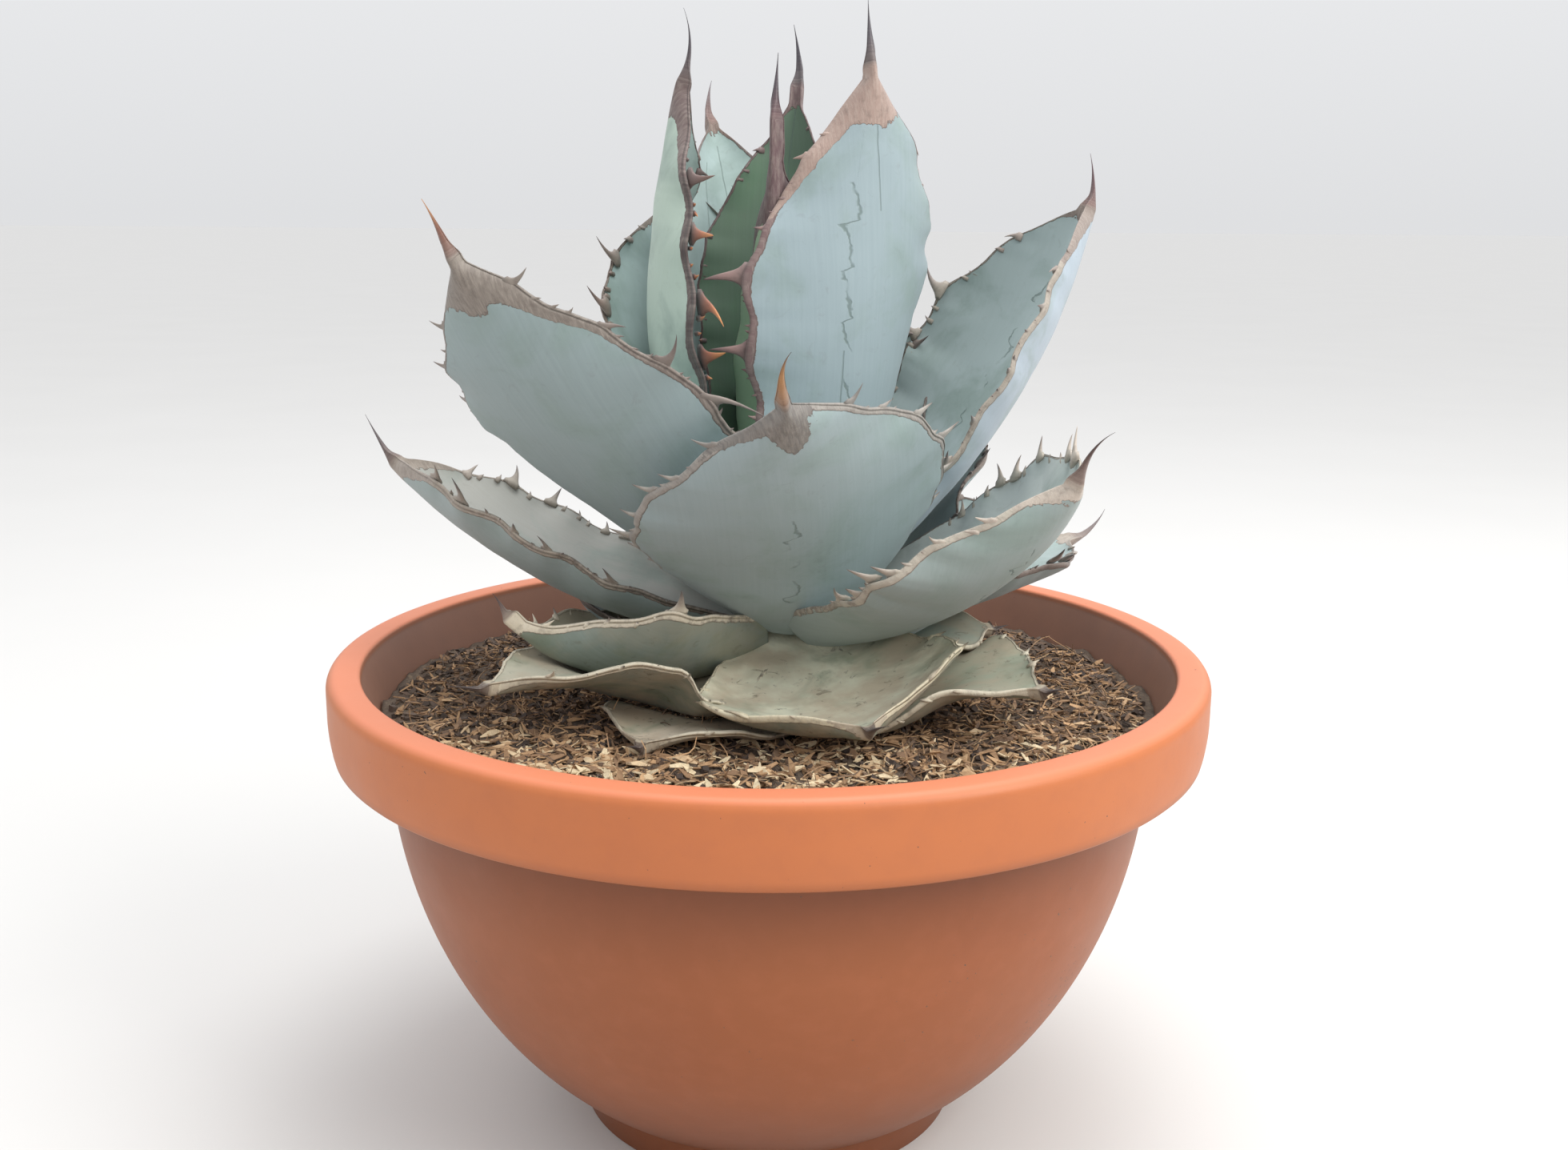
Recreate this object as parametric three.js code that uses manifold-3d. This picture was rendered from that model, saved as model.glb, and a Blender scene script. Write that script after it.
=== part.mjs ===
// Agave titanota "White Ice" in a wide bowl pot: a rosette of thick glaucous leaves with horny, toothed
// margins and long terminal spines, on a short stem in potting mix.
// Millimetres, +Z up. The origin is on the ground under the pot's axis, and -Y is the front.
import * as THREE from 'three';
import { mergeVertices } from 'three/addons/utils/BufferGeometryUtils.js';
import Module from 'manifold-3d';

const wasm = await Module();
wasm.setup();

// Pot: a moulded plastic bowl with a folded-over rim. A bowl sold as 40 cm sets the scale.
const POT_HEIGHT = 220;
const RIM_RADIUS = 200;
const LIP_RADIUS = 185;
const SKIRT_HEIGHT = 35;
const SKIRT_TAPER = 2;
const RIM_ROUND = 5;
const LIP_ROUND = 2;
const POT_WALL = 4;
const BOWL_RADIUS = 175;
const BOWL_DEPTH = 200;
const BOWL_TOP = POT_HEIGHT - SKIRT_HEIGHT;
const FOOT_HEIGHT = 15;
const FOOT_RADIUS = 91;
const FOOT_TAPER = 2;
const FOOT_RECESS = 5;
const FOOT_RING = 6;
const SLOPE_START = BOWL_TOP - 5;
const ROUND_SIDES = 36;

// Soil: its level below the lip, its heap at the stem and its lumps.
const SOIL_LEVEL = POT_HEIGHT - 21;
const SOIL_HEAP = 2;
const SOIL_LUMP = 1;
const SOIL_RINGS = 4;

// Stem: short, thick and hidden by the leaf bases. It stands a little right of the pot's axis.
const STEM_X = 10;
const STEM_Y = 5;
const STEM_RADIUS = 16;
const STEM_HEIGHT = 64;
const STEM_TOP_RADIUS = 4;
const STEM_SUNK = 45;
const STEM_SIDES = 12;

// Fit between pieces that touch.
const GAP = 0.5;

// Leaf blades: columns across one face, rows along the blade, rows along the spine.
const COLUMNS = 5;
const ROWS = 11;
const SPINE_ROWS = 3;
const CENTRE_STEPS = 40;
const EDGE_THICKNESS = 1.8;
const TIP_THINNING = 0.72;
const SPINE_RADIUS = 2.7;
const SPINE_TOP = 0.45;
const SPINE_DROP = 0.9;

// Margins: the stretch that carries teeth, how deep a tooth's root sits, the length from which a tooth
// is bent, how far the margin swells under a tooth, and the size and rate of its own waves.
const TOOTH_ZONE = [0.3, 0.93];
const TOOTH_ROOT = 2.5;
const BENT_TOOTH = 10;
const TOOTH_SWELL = 0.28;
const WAVE_SIZE = 0.6;
const WAVE_RATE = 0.21;
const ROLL_SIZE = 1.6;
const ROLL_RATE = 0.17;

const UP = new THREE.Vector3(0, 0, 1);
const degrees = Math.PI / 180;

// What most leaves share. Angles in degrees, lengths in millimetres.
// bearing: 0 to the front, 90 to the right. sweep: how far the bearing has turned at the tip.
// rise: the blade's slope at its root and its tip. bend: above 1 the curve comes late.
// root: distance of the blade's start from the stem's axis, and its height above the soil.
// shape: width at the root against the widest, where the widest lies, and how hollow the tip's outline is.
// cup: depth of the channel against half the width, at the root and the tip. twist: roll of the blade.
// spine: length, curl towards the upper face, curl towards the left margin.
// tooth: length of the usual tooth, distance between teeth, hook towards the tip (+) or the root (-).
// marked: single teeth that stand out, as [side, place, length, hook].
const COMMON = {
  sweep: 0,
  bend: 1,
  shape: [0.5, 0.52, 1.1],
  cup: [0.4, 0.45],
  twist: [0, 0],
  thick: 10.5,
  spine: [32, 0, 0],
  tooth: [6, 12, -0.3],
  marked: [],
  wave: 0.8,
  colour: 0x93a6a8,
};

const LOW_COLOUR = 0x8d9080;
const YOUNG_COLOUR = 0x6f8f7a;

// The leaves, youngest first: the bud and the upright ones, then ring by ring down to the soil.
const LEAVES = [
  {
    name: 'leaf_bud', bearing: -17, root: [5, 66], rise: [75, 91], length: 193, width: 60, thick: 10,
    shape: [0.6, 0.35, 1.5], cup: [0.95, 0.95], spine: [28, 10, 0], tooth: [0, 0, 0], colour: YOUNG_COLOUR,
  },
  {
    name: 'leaf_centre_back', bearing: 184, sweep: -18, root: [8, 62], rise: [76, 77], length: 221, width: 79,
    shape: [0.5, 0.54, 1.3], cup: [0.45, 0.6], twist: [-5, 14], spine: [32, -10, -20], tooth: [3, 40, -0.2],
    colour: YOUNG_COLOUR,
  },
  {
    name: 'leaf_tall_back_left', bearing: -158, sweep: 2, root: [10, 56], rise: [67, 63], length: 227,
    width: 100, shape: [0.5, 0.48, 0.85], cup: [0.45, 0.5], twist: [-4, -15], spine: [31, -17, 34],
    tooth: [9, 30, 0.3],
  },
  {
    name: 'leaf_tall_right', bearing: 53, sweep: -15, root: [11, 52], rise: [71, 96], bend: 1.1, length: 230,
    width: 96, shape: [0.5, 0.58, 1], cup: [0.45, 0.35], twist: [-12, 21], spine: [29, 13, -7],
    tooth: [6, 30, -0.2], marked: [[1, 0.62, 17, -0.15], [1, 0.48, 14, -0.1]],
  },
  {
    name: 'leaf_tall_left', bearing: -88, root: [13, 50], rise: [58, 106], bend: 1.05, length: 232, width: 86,
    shape: [0.5, 0.51, 0.8], cup: [0.45, 0.4], twist: [13, 2], spine: [33, -38, 0],
    tooth: [6, 32, -0.2],
    marked: [[-1, 0.6, 18, -0.5], [-1, 0.5, 16, 0.1], [-1, 0.73, 14, 0], [-1, 0.83, 14, 0.2]],
  },
  {
    name: 'leaf_upper_back_left', bearing: -135, sweep: -32, root: [11, 55], rise: [62, 70], length: 192,
    width: 117, shape: [0.35, 0.54, 0.93], cup: [0.5, 0.5], twist: [-8, 16], spine: [26, -8, 13],
    tooth: [8, 30, 0.2], marked: [[-1, 0.8, 12, 0.7], [-1, 0.66, 14, 0.5], [-1, 0.5, 13, -0.5]],
  },
  {
    name: 'leaf_upper_right', bearing: 104, sweep: -3, root: [11, 50], rise: [41, 72], bend: 1.45,
    length: 217, width: 111, shape: [0.5, 0.56, 0.8], cup: [0.15, 0.65], twist: [3, -9],
    spine: [26, 15, -30], tooth: [7, 26, -0.3],
    marked: [[-1, 0.72, 14, 0.6], [-1, 0.6, 9, 0.4], [1, 0.36, 10, 0.3]],
  },
  {
    name: 'leaf_upper_back', bearing: 166, root: [13, 45], rise: [50, 68], length: 186, width: 100,
    tooth: [8, 28, 0.2],
  },
  {
    name: 'leaf_upper_left', bearing: -55, sweep: 2, root: [12, 49], rise: [33, 62], bend: 1.3, length: 217,
    width: 131, shape: [0.5, 0.47, 1], cup: [0.3, 0.1], twist: [1, -32], spine: [25, -6, 3],
    tooth: [8, 20, -0.1], marked: [[-1, 0.92, 8, 0.4], [-1, 0.67, 13, 0.7], [-1, 0.56, 14, -1.5],
      [1, 0.87, 8, 0.5], [1, 0.79, 8, 0.4], [1, 0.69, 8, 0.2], [1, 0.53, 8, -0.2]],
  },
  {
    name: 'leaf_front', bearing: 3, sweep: -17, root: [15, 42], rise: [38, 46], length: 163, width: 130,
    shape: [0.45, 0.49, 1.05], cup: [0.2, 0.3], twist: [-6, -27], spine: [36, -28, -22], tooth: [10, 17, 0.1],
  },
  {
    name: 'leaf_middle_right', bearing: 56, sweep: -45, root: [16, 36], rise: [14, 54], bend: 1.5,
    length: 169, width: 115, shape: [0.5, 0.57, 0.85], cup: [0.4, 0.5], twist: [-4, -30],
    spine: [36, -33, 0], tooth: [9, 19, 0.2], marked: [[-1, 0.88, 12, 0.5], [-1, 0.8, 9, 0.4]],
  },
  {
    name: 'leaf_middle_back_right', bearing: 137, root: [15, 33], rise: [34, 50], length: 166, width: 104,
    tooth: [8, 24, 0.2],
  },
  {
    name: 'leaf_middle_left', bearing: -92, sweep: -12, root: [17, 34], rise: [9, 44], bend: 1.5, length: 186,
    width: 99, shape: [0.5, 0.52, 0.7], cup: [0.2, 0.45], twist: [0, -8], spine: [28, 8, 17],
    tooth: [10, 22, 0.3],
  },
  {
    name: 'leaf_middle_back', bearing: -165, root: [16, 31], rise: [28, 48], length: 168, width: 108,
    tooth: [8, 25, 0.2],
  },
  {
    name: 'leaf_lower_left', bearing: -66, sweep: 8, root: [18, 28], rise: [-14, 49], bend: 1.5, length: 125,
    width: 84, shape: [0.5, 0.51, 1.5], cup: [0.55, 0.5], twist: [-10, -11], spine: [13, 0, 0],
    tooth: [4, 18, 0.2], marked: [[-1, 0.46, 13, 0.2]], colour: LOW_COLOUR,
  },
  {
    name: 'leaf_low_front', bearing: 15, sweep: -4, root: [12, 33], rise: [-30, 18], length: 117, width: 112,
    shape: [0.5, 0.59, 0.95], cup: [0.1, 0.4], twist: [-10, -10], spine: [18, -5, -28], tooth: [5, 18, 0.2],
    marked: [[1, 0.78, 9, 0.4]], thick: 10, colour: LOW_COLOUR,
  },
  {
    name: 'leaf_lower_right', bearing: 114, sweep: 11, root: [19, 20], rise: [23, 8], length: 147, width: 105,
    shape: [0.5, 0.53, 1.15], cup: [0.5, 0.4], twist: [7, -19], spine: [35, 10, -31], tooth: [10, 17, -0.5],
    thick: 11,
  },
  {
    name: 'leaf_small_right', bearing: 99, sweep: 8, root: [16, 22], rise: [10, -4], length: 82, width: 78,
    shape: [0.35, 0.52, 1.15], cup: [0.25, 0.1], twist: [5, -15], spine: [10, 3, -11], tooth: [4, 18, 0],
    thick: 7, colour: LOW_COLOUR,
  },
  {
    name: 'leaf_lower_back', bearing: 180, root: [18, 20], rise: [14, 30], length: 150, width: 102,
    tooth: [8, 24, 0.1], thick: 11,
  },
  {
    name: 'leaf_lower_back_left', bearing: -118, root: [18, 18], rise: [17, 5], length: 120, width: 86,
    shape: [0.35, 0.5, 1.15], cup: [0.3, 0.5], twist: [-4, -7], spine: [14, 0, 0], tooth: [6, 22, 0],
    thick: 9,
  },
  {
    name: 'leaf_low_right', bearing: 50, sweep: -4, root: [20, 12], rise: [8, 8], length: 118, width: 101,
    shape: [0.35, 0.5, 1.2], cup: [0.15, 0.15], twist: [0, -3], spine: [12, 0, 5], tooth: [4, 20, 0.2],
    thick: 7, colour: LOW_COLOUR,
  },
  {
    name: 'leaf_low_left', bearing: -55, sweep: 6, root: [20, 13], rise: [11, 3], length: 137, width: 95,
    shape: [0.35, 0.5, 1.1], cup: [0.2, 0.2], twist: [-2, -6], spine: [19, 8, -5], tooth: [4, 20, 0.1],
    thick: 8, colour: LOW_COLOUR,
  },
  {
    name: 'leaf_low_back_right', bearing: 152, root: [20, 13], rise: [7, 5], length: 126, width: 98,
    shape: [0.35, 0.52, 1.1], cup: [0.2, 0.25], spine: [18, 6, 0], tooth: [5, 22, 0.1], thick: 8,
    colour: LOW_COLOUR,
  },
  {
    name: 'leaf_low_back_left', bearing: -152, root: [20, 12], rise: [7, 4], length: 130, width: 100,
    shape: [0.35, 0.52, 1.1], cup: [0.2, 0.25], spine: [18, 6, 0], tooth: [5, 22, 0.1], thick: 8,
    colour: LOW_COLOUR,
  },
  {
    name: 'leaf_low_front_left', bearing: -32, root: [22, 5], rise: [2, 0], length: 95, width: 84,
    shape: [0.35, 0.6, 0.8], cup: [0.1, 0.15], twist: [-1, -5], spine: [10, 10, 0], tooth: [3, 22, 0],
    thick: 5, colour: LOW_COLOUR,
  },
].map((leaf, index) => ({ ...COMMON, ...leaf, seed: index + 1 }));

// A repeatable draw between 0 and 1 from a leaf's seed and a running number.
function draw(seed, number) {
  const value = Math.sin(seed * 12.9898 + number * 78.233) * 43758.5453;
  return value - Math.floor(value);
}

function smoothStep(from, to, value) {
  const t = THREE.MathUtils.clamp((value - from) / (to - from), 0, 1);
  return t * t * (3 - 2 * t);
}

function between(pair, t) {
  return pair[0] + (pair[1] - pair[0]) * t;
}

// Directions of a blade at t: along it, across to its left margin, and out of its upper face.
function frameAt(leaf, t) {
  const rise = between(leaf.rise, t ** leaf.bend) * degrees;
  const bearing = (leaf.bearing + leaf.sweep * t * t) * degrees;
  const outward = new THREE.Vector3(Math.sin(bearing), -Math.cos(bearing), 0);
  const along = outward.clone().multiplyScalar(Math.cos(rise)).addScaledVector(UP, Math.sin(rise));
  const level = outward.clone().multiplyScalar(-Math.sin(rise)).addScaledVector(UP, Math.cos(rise));
  const side = along.clone().cross(level);
  const twist = between(leaf.twist, t) * degrees;
  const across = side.clone().multiplyScalar(Math.cos(twist)).addScaledVector(level, Math.sin(twist));
  const face = level.clone().multiplyScalar(Math.cos(twist)).addScaledVector(side, -Math.sin(twist));
  return { along, across, face };
}

// A blade's centre line: short straight steps, each along the blade's direction halfway through it.
function centreLine(leaf) {
  const bearing = leaf.bearing * degrees;
  const point = new THREE.Vector3(STEM_X, STEM_Y, SOIL_LEVEL + leaf.root[1]);
  point.x += leaf.root[0] * Math.sin(bearing);
  point.y -= leaf.root[0] * Math.cos(bearing);
  const points = [point.clone()];
  for (let step = 0; step < CENTRE_STEPS; step += 1) {
    const { along } = frameAt(leaf, (step + 0.5) / CENTRE_STEPS);
    point.addScaledVector(along, leaf.length / CENTRE_STEPS);
    points.push(point.clone());
  }
  return points;
}

function pointOn(points, t) {
  const place = THREE.MathUtils.clamp(t, 0, 1) * (points.length - 1);
  const step = Math.min(Math.floor(place), points.length - 2);
  return points[step].clone().lerp(points[step + 1], place - step);
}

// Half the blade's width at t, without waves: it swells to the widest place and runs out to the spine.
function halfWidth(leaf, t) {
  const [rootShare, widest, hollow] = leaf.shape;
  const swell = rootShare + (1 - rootShare) * Math.sin((Math.PI / 2) * Math.min(t / widest, 1));
  const taper = Math.cos((Math.PI / 2) * THREE.MathUtils.clamp((t - widest) / (1 - widest), 0, 1)) ** hollow;
  return Math.max((leaf.width / 2) * (t < widest ? swell : taper), SPINE_RADIUS);
}

// The teeth of one margin: a seeded row of usual teeth, which leaves room for the marked ones.
function marginTeeth(leaf, side) {
  const teeth = leaf.marked.filter((tooth) => tooth[0] === side);
  const marked = teeth.map((tooth) => tooth[1]);
  const [usual, pitch, hook] = leaf.tooth;
  if (usual === 0) return teeth;
  const zone = TOOTH_ZONE[1] - TOOTH_ZONE[0];
  const count = Math.round((zone * leaf.length) / pitch);
  for (let number = 0; number < count; number += 1) {
    const key = number * 3 + (side > 0 ? 0 : 200);
    const t = TOOTH_ZONE[0] + (zone * (number + 0.2 + 0.6 * draw(leaf.seed, key))) / count;
    const length = usual * (0.6 + 0.7 * draw(leaf.seed, key + 1));
    const lean = hook + 0.8 * (draw(leaf.seed, key + 2) - 0.5);
    const clear = marked.every((place) => Math.abs(place - t) * leaf.length > 0.7 * pitch);
    if (clear) teeth.push([side, t, length, lean]);
  }
  return teeth;
}

// How far a margin stands out at t: it swells under each tooth and rolls a little between them.
function marginSwell(leaf, teeth, side, t) {
  let swell = WAVE_SIZE * leaf.wave * Math.sin(t * leaf.length * WAVE_RATE + leaf.seed + side);
  for (const [, place, length] of teeth) {
    const distance = ((t - place) * leaf.length) / (0.9 * length);
    swell += TOOTH_SWELL * length * Math.exp(-distance * distance);
  }
  return swell * smoothStep(0.1, 0.3, t) * (1 - smoothStep(0.88, 1, t));
}

// How far the margins roll up and down at t.
function marginRoll(leaf, side, t) {
  const phase = t * leaf.length * ROLL_RATE + 2 * leaf.seed + 1.3 * side;
  const roll = leaf.wave * ROLL_SIZE * Math.sin(phase);
  return roll * smoothStep(0.15, 0.4, t) * (1 - smoothStep(0.85, 1, t));
}

// One section of the blade at t: points across the upper face and the same number across the back.
// u runs from -1 at the right margin to 1 at the left one. grow fattens the section all round.
function bladeSection(leaf, points, teeth, t, grow) {
  const { across, face } = frameAt(leaf, t);
  const centre = pointOn(points, t);
  const half = halfWidth(leaf, t);
  const depth = between(leaf.cup, t) * half;
  const runOut = smoothStep(0.85, 1, t);
  const blade = leaf.thick * (1 - TIP_THINNING * smoothStep(0, 1, t));
  const body = blade * (1 - runOut) + 1.7 * SPINE_RADIUS * runOut;
  const edge = EDGE_THICKNESS * (1 - 0.4 * runOut);
  const upper = [];
  const back = [];
  for (let column = 0; column < COLUMNS; column += 1) {
    const u = -1 + (2 * column) / (COLUMNS - 1);
    const side = u < 0 ? -1 : 1;
    const rim = u * u;
    const atMargin = rim === 1 ? u * grow : 0;
    const tilt = Math.atan2(2 * depth * u, half);
    const normal = face.clone().multiplyScalar(Math.cos(tilt)).addScaledVector(across, -Math.sin(tilt));
    const sideways = across.clone().multiplyScalar(Math.cos(tilt)).addScaledVector(face, Math.sin(tilt));
    const out = u * half + rim * u * marginSwell(leaf, teeth[side], side, t);
    const up = depth * rim + rim * rim * marginRoll(leaf, side, t);
    const deep = edge + body * (1 - rim) ** 0.7;
    const point = centre.clone().addScaledVector(across, out).addScaledVector(face, up);
    point.addScaledVector(sideways, atMargin);
    upper.push(point.clone().addScaledVector(normal, grow));
    back.push(point.clone().addScaledVector(face, -deep).addScaledVector(normal, -grow));
  }
  return { upper, back };
}

// Sections of the terminal spine: it goes on from the blade's end, curls and narrows to its point.
function spineSections(leaf, points, grow) {
  const [length, curlUp, curlLeft] = leaf.spine;
  const { along, across, face } = frameAt(leaf, 1);
  const centre = points[points.length - 1].clone();
  const sections = [];
  for (let row = 1; row <= SPINE_ROWS; row += 1) {
    const halfway = (row - 0.5) / SPINE_ROWS;
    const up = curlUp * halfway * degrees;
    const left = curlLeft * halfway * degrees;
    const heading = along.clone().multiplyScalar(Math.cos(up) * Math.cos(left));
    heading.addScaledVector(face, Math.sin(up)).addScaledVector(across, Math.sin(left) * Math.cos(up));
    centre.addScaledVector(heading, (length + grow) / SPINE_ROWS);
    const radius = SPINE_RADIUS * (1 - row / SPINE_ROWS) ** 1.1 + 0.15 + grow;
    const upper = [];
    const back = [];
    for (let column = 0; column < COLUMNS; column += 1) {
      const u = -1 + (2 * column) / (COLUMNS - 1);
      const bulge = Math.sqrt(Math.max(1 - u * u, 0.04)) * radius;
      const middle = centre.clone().addScaledVector(across, u * radius);
      upper.push(middle.clone().addScaledVector(face, SPINE_TOP * bulge - SPINE_DROP * radius));
      back.push(middle.clone().addScaledVector(face, -bulge - SPINE_DROP * radius));
    }
    sections.push({ upper, back });
  }
  return sections;
}

// A closed mesh through the sections, cut into triangles alike on the upper face and the back.
function skinSections(sections) {
  const positions = [];
  const indices = [];
  const upperAt = (row, column) => row * 2 * COLUMNS + column;
  const backAt = (row, column) => upperAt(row, column) + COLUMNS;
  const quad = (a, b, c, d) => indices.push(a, c, b, a, d, c);
  for (const { upper, back } of sections) {
    for (const point of [...upper, ...back]) positions.push(point.x, point.y, point.z);
  }
  const last = sections.length - 1;
  const end = COLUMNS - 1;
  for (let row = 0; row < last; row += 1) {
    for (let column = 0; column < end; column += 1) {
      const nextUpper = upperAt(row + 1, column + 1);
      const next = backAt(row + 1, column + 1);
      quad(upperAt(row, column), upperAt(row + 1, column), nextUpper, upperAt(row, column + 1));
      indices.push(backAt(row, column), backAt(row + 1, column), next);
      indices.push(backAt(row, column), next, backAt(row, column + 1));
    }
    quad(upperAt(row, end), upperAt(row + 1, end), backAt(row + 1, end), backAt(row, end));
    quad(upperAt(row, 0), backAt(row, 0), backAt(row + 1, 0), upperAt(row + 1, 0));
  }
  for (let column = 0; column < end; column += 1) {
    quad(upperAt(0, column), upperAt(0, column + 1), backAt(0, column + 1), backAt(0, column));
    quad(upperAt(last, column), backAt(last, column), backAt(last, column + 1), upperAt(last, column + 1));
  }
  return closedGeometry(positions, indices);
}

function closedGeometry(positions, indices) {
  const geometry = new THREE.BufferGeometry();
  geometry.setAttribute('position', new THREE.Float32BufferAttribute(positions, 3));
  geometry.setIndex(indices);
  return geometry;
}

// A tooth: a bent three-sided thorn whose root is sunk in the margin.
function toothGeometry(leaf, points, tooth, grow) {
  const [side, t, length, hook] = tooth;
  const { along, across, face } = frameAt(leaf, t);
  const half = halfWidth(leaf, t);
  const depth = between(leaf.cup, t) * half;
  const out = across.clone().multiplyScalar(side * half).addScaledVector(face, 2 * depth).normalize();
  const flat = along.clone().cross(out).normalize();
  const root = pointOn(points, t).addScaledVector(across, side * half);
  root.addScaledVector(face, depth + marginRoll(leaf, side, t) - EDGE_THICKNESS / 2);
  root.addScaledVector(out, marginSwell(leaf, marginTeeth(leaf, side), side, t));
  const ring = [];
  const stations = length < BENT_TOOTH ? [[0, 1]] : [[0, 1], [0.45, 0.6]];
  for (const [reach, share] of stations) {
    const sunk = reach === 0 ? TOOTH_ROOT : 0;
    const middle = root.clone().addScaledVector(out, reach * (length + grow) - sunk);
    middle.addScaledVector(along, hook * length * reach * reach);
    const breadth = (0.3 * length + 0.6) * share + grow;
    const thickness = (0.5 * EDGE_THICKNESS + 0.04 * length) * share + grow;
    ring.push(middle.clone().addScaledVector(along, breadth).addScaledVector(flat, thickness));
    ring.push(middle.clone().addScaledVector(along, -breadth).addScaledVector(flat, thickness));
    ring.push(middle.clone().addScaledVector(flat, -thickness));
  }
  const tip = root.clone().addScaledVector(out, length + grow).addScaledVector(along, hook * length);
  const positions = [...ring, tip].flatMap((point) => [point.x, point.y, point.z]);
  const indices = [0, 1, 2];
  const last = 3 * (stations.length - 1);
  for (let corner = 0; corner < 3; corner += 1) {
    const next = (corner + 1) % 3;
    if (last > 0) indices.push(corner, next + 3, next, corner, corner + 3, next + 3);
    indices.push(corner + last, last + 3, next + last);
  }
  return closedGeometry(positions, indices);
}

// Solids for cutting and joining, and back again.
function solidOf(geometry) {
  const plain = geometry.clone();
  plain.deleteAttribute('normal');
  plain.deleteAttribute('uv');
  const merged = mergeVertices(plain, 1e-4);
  const mesh = new wasm.Mesh({
    numProp: 3,
    vertProperties: Float32Array.from(merged.attributes.position.array),
    triVerts: Uint32Array.from(merged.index.array),
  });
  return new wasm.Manifold(mesh);
}

function geometryOf(solid) {
  const mesh = solid.getMesh();
  return closedGeometry(Array.from(mesh.vertProperties), Array.from(mesh.triVerts));
}

// The largest of a cut solid's bodies. Loose scraps of teeth are dropped.
function largestBody(solid) {
  const bodies = solid.decompose();
  return bodies.reduce((best, body) => (body.volume() > best.volume() ? body : best));
}

// One leaf's blade and spine in one skin, without its teeth.
function bladeGeometry(leaf, grow) {
  const points = centreLine(leaf);
  const teeth = { '-1': marginTeeth(leaf, -1), 1: marginTeeth(leaf, 1) };
  const sections = [];
  for (let row = 0; row < ROWS; row += 1) {
    sections.push(bladeSection(leaf, points, teeth, row / (ROWS - 1), grow));
  }
  sections.push(...spineSections(leaf, points, grow));
  return skinSections(sections);
}

// The bowl's radius at a height: a stretched round, cut off by the foot.
function bowlRadius(height, inset) {
  const drop = Math.min((BOWL_TOP - height) / (BOWL_DEPTH - inset), 1);
  return (BOWL_RADIUS - inset) * Math.sqrt(1 - drop * drop);
}

function roundCorner(centreX, centreZ, radius, fromAngle, toAngle, steps) {
  const points = [];
  for (let step = 0; step <= steps; step += 1) {
    const angle = (fromAngle + ((toAngle - fromAngle) * step) / steps) * degrees;
    points.push([centreX + radius * Math.cos(angle), centreZ + radius * Math.sin(angle)]);
  }
  return points;
}

// The pot's inside, from the centre of its floor up to the slope of the lip. The soil follows it at a gap.
function insideProfile(inset) {
  const floor = FOOT_RECESS + POT_WALL + inset;
  const points = [[0, floor]];
  for (const height of [floor, 40, 90, SLOPE_START]) {
    points.push([bowlRadius(height, POT_WALL + inset), height]);
  }
  return points;
}

// The inner wall's radius where it slopes out to the lip.
function slopeRadius(height) {
  const start = bowlRadius(SLOPE_START, POT_WALL);
  const share = (height - SLOPE_START) / (POT_HEIGHT - LIP_ROUND - SLOPE_START);
  return start + (LIP_RADIUS - start) * share;
}

function latheOf(profile, sides) {
  const points = profile.map(([x, y]) => new THREE.Vector2(x, y));
  const geometry = new THREE.LatheGeometry(points, sides);
  geometry.rotateX(Math.PI / 2);
  return geometry;
}

// Pot: foot, bowl, the slope up to the rim, the hollow under the folded skirt, and back down inside.
function potGeometry() {
  const rimTop = POT_HEIGHT;
  const skirtFoot = RIM_RADIUS - SKIRT_TAPER;
  const skirtInside = skirtFoot - POT_WALL;
  const footEdge = FOOT_RADIUS - FOOT_TAPER;
  const outside = [
    [0, FOOT_RECESS],
    [footEdge - FOOT_RING - FOOT_TAPER, FOOT_RECESS],
    [footEdge - FOOT_RING, 0],
    [footEdge, 0],
    [FOOT_RADIUS, FOOT_HEIGHT],
  ];
  for (const height of [FOOT_HEIGHT + 2, 40, 75, 120, BOWL_TOP]) {
    outside.push([bowlRadius(height, 0), height]);
  }
  const rim = [
    [LIP_RADIUS - LIP_ROUND, rimTop - RIM_ROUND - POT_WALL],
    [skirtInside, rimTop - RIM_ROUND],
    [skirtInside, BOWL_TOP],
    [skirtFoot, BOWL_TOP],
    [RIM_RADIUS, rimTop - SKIRT_HEIGHT / 2],
    ...roundCorner(RIM_RADIUS - RIM_ROUND, rimTop - RIM_ROUND, RIM_ROUND, 0, 90, 2),
    ...roundCorner(LIP_RADIUS + LIP_ROUND, rimTop - LIP_ROUND, LIP_ROUND, 90, 180, 1),
  ];
  return latheOf([...outside, ...rim, ...insideProfile(0).reverse()], ROUND_SIDES);
}

// Soil: fills the bowl to its level, heaped a little at the stem, with a lumpy top.
function soilHeight(x, y) {
  const reach = Math.hypot(x - STEM_X, y - STEM_Y) / BOWL_RADIUS;
  const heap = SOIL_HEAP * (1 - smoothStep(0, 1, reach));
  const lumps = Math.sin(x * 0.11 + 1.3 * Math.sin(y * 0.07)) * Math.cos(y * 0.13 - x * 0.04);
  return SOIL_LEVEL + heap + SOIL_LUMP * lumps;
}

function soilGeometry(grow) {
  const side = insideProfile(GAP);
  const edge = slopeRadius(SOIL_LEVEL - SOIL_LUMP) - GAP;
  const top = [];
  for (let ring = 0; ring <= SOIL_RINGS; ring += 1) {
    top.push([edge * (1 - ring / SOIL_RINGS), SOIL_LEVEL]);
  }
  const profile = [...side, ...top];
  const geometry = latheOf(profile, ROUND_SIDES);
  const position = geometry.attributes.position;
  for (let at = 0; at < position.count; at += 1) {
    if (at % profile.length < side.length) continue;
    position.setZ(at, soilHeight(position.getX(at), position.getY(at)) + grow);
  }
  return geometry;
}

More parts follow.
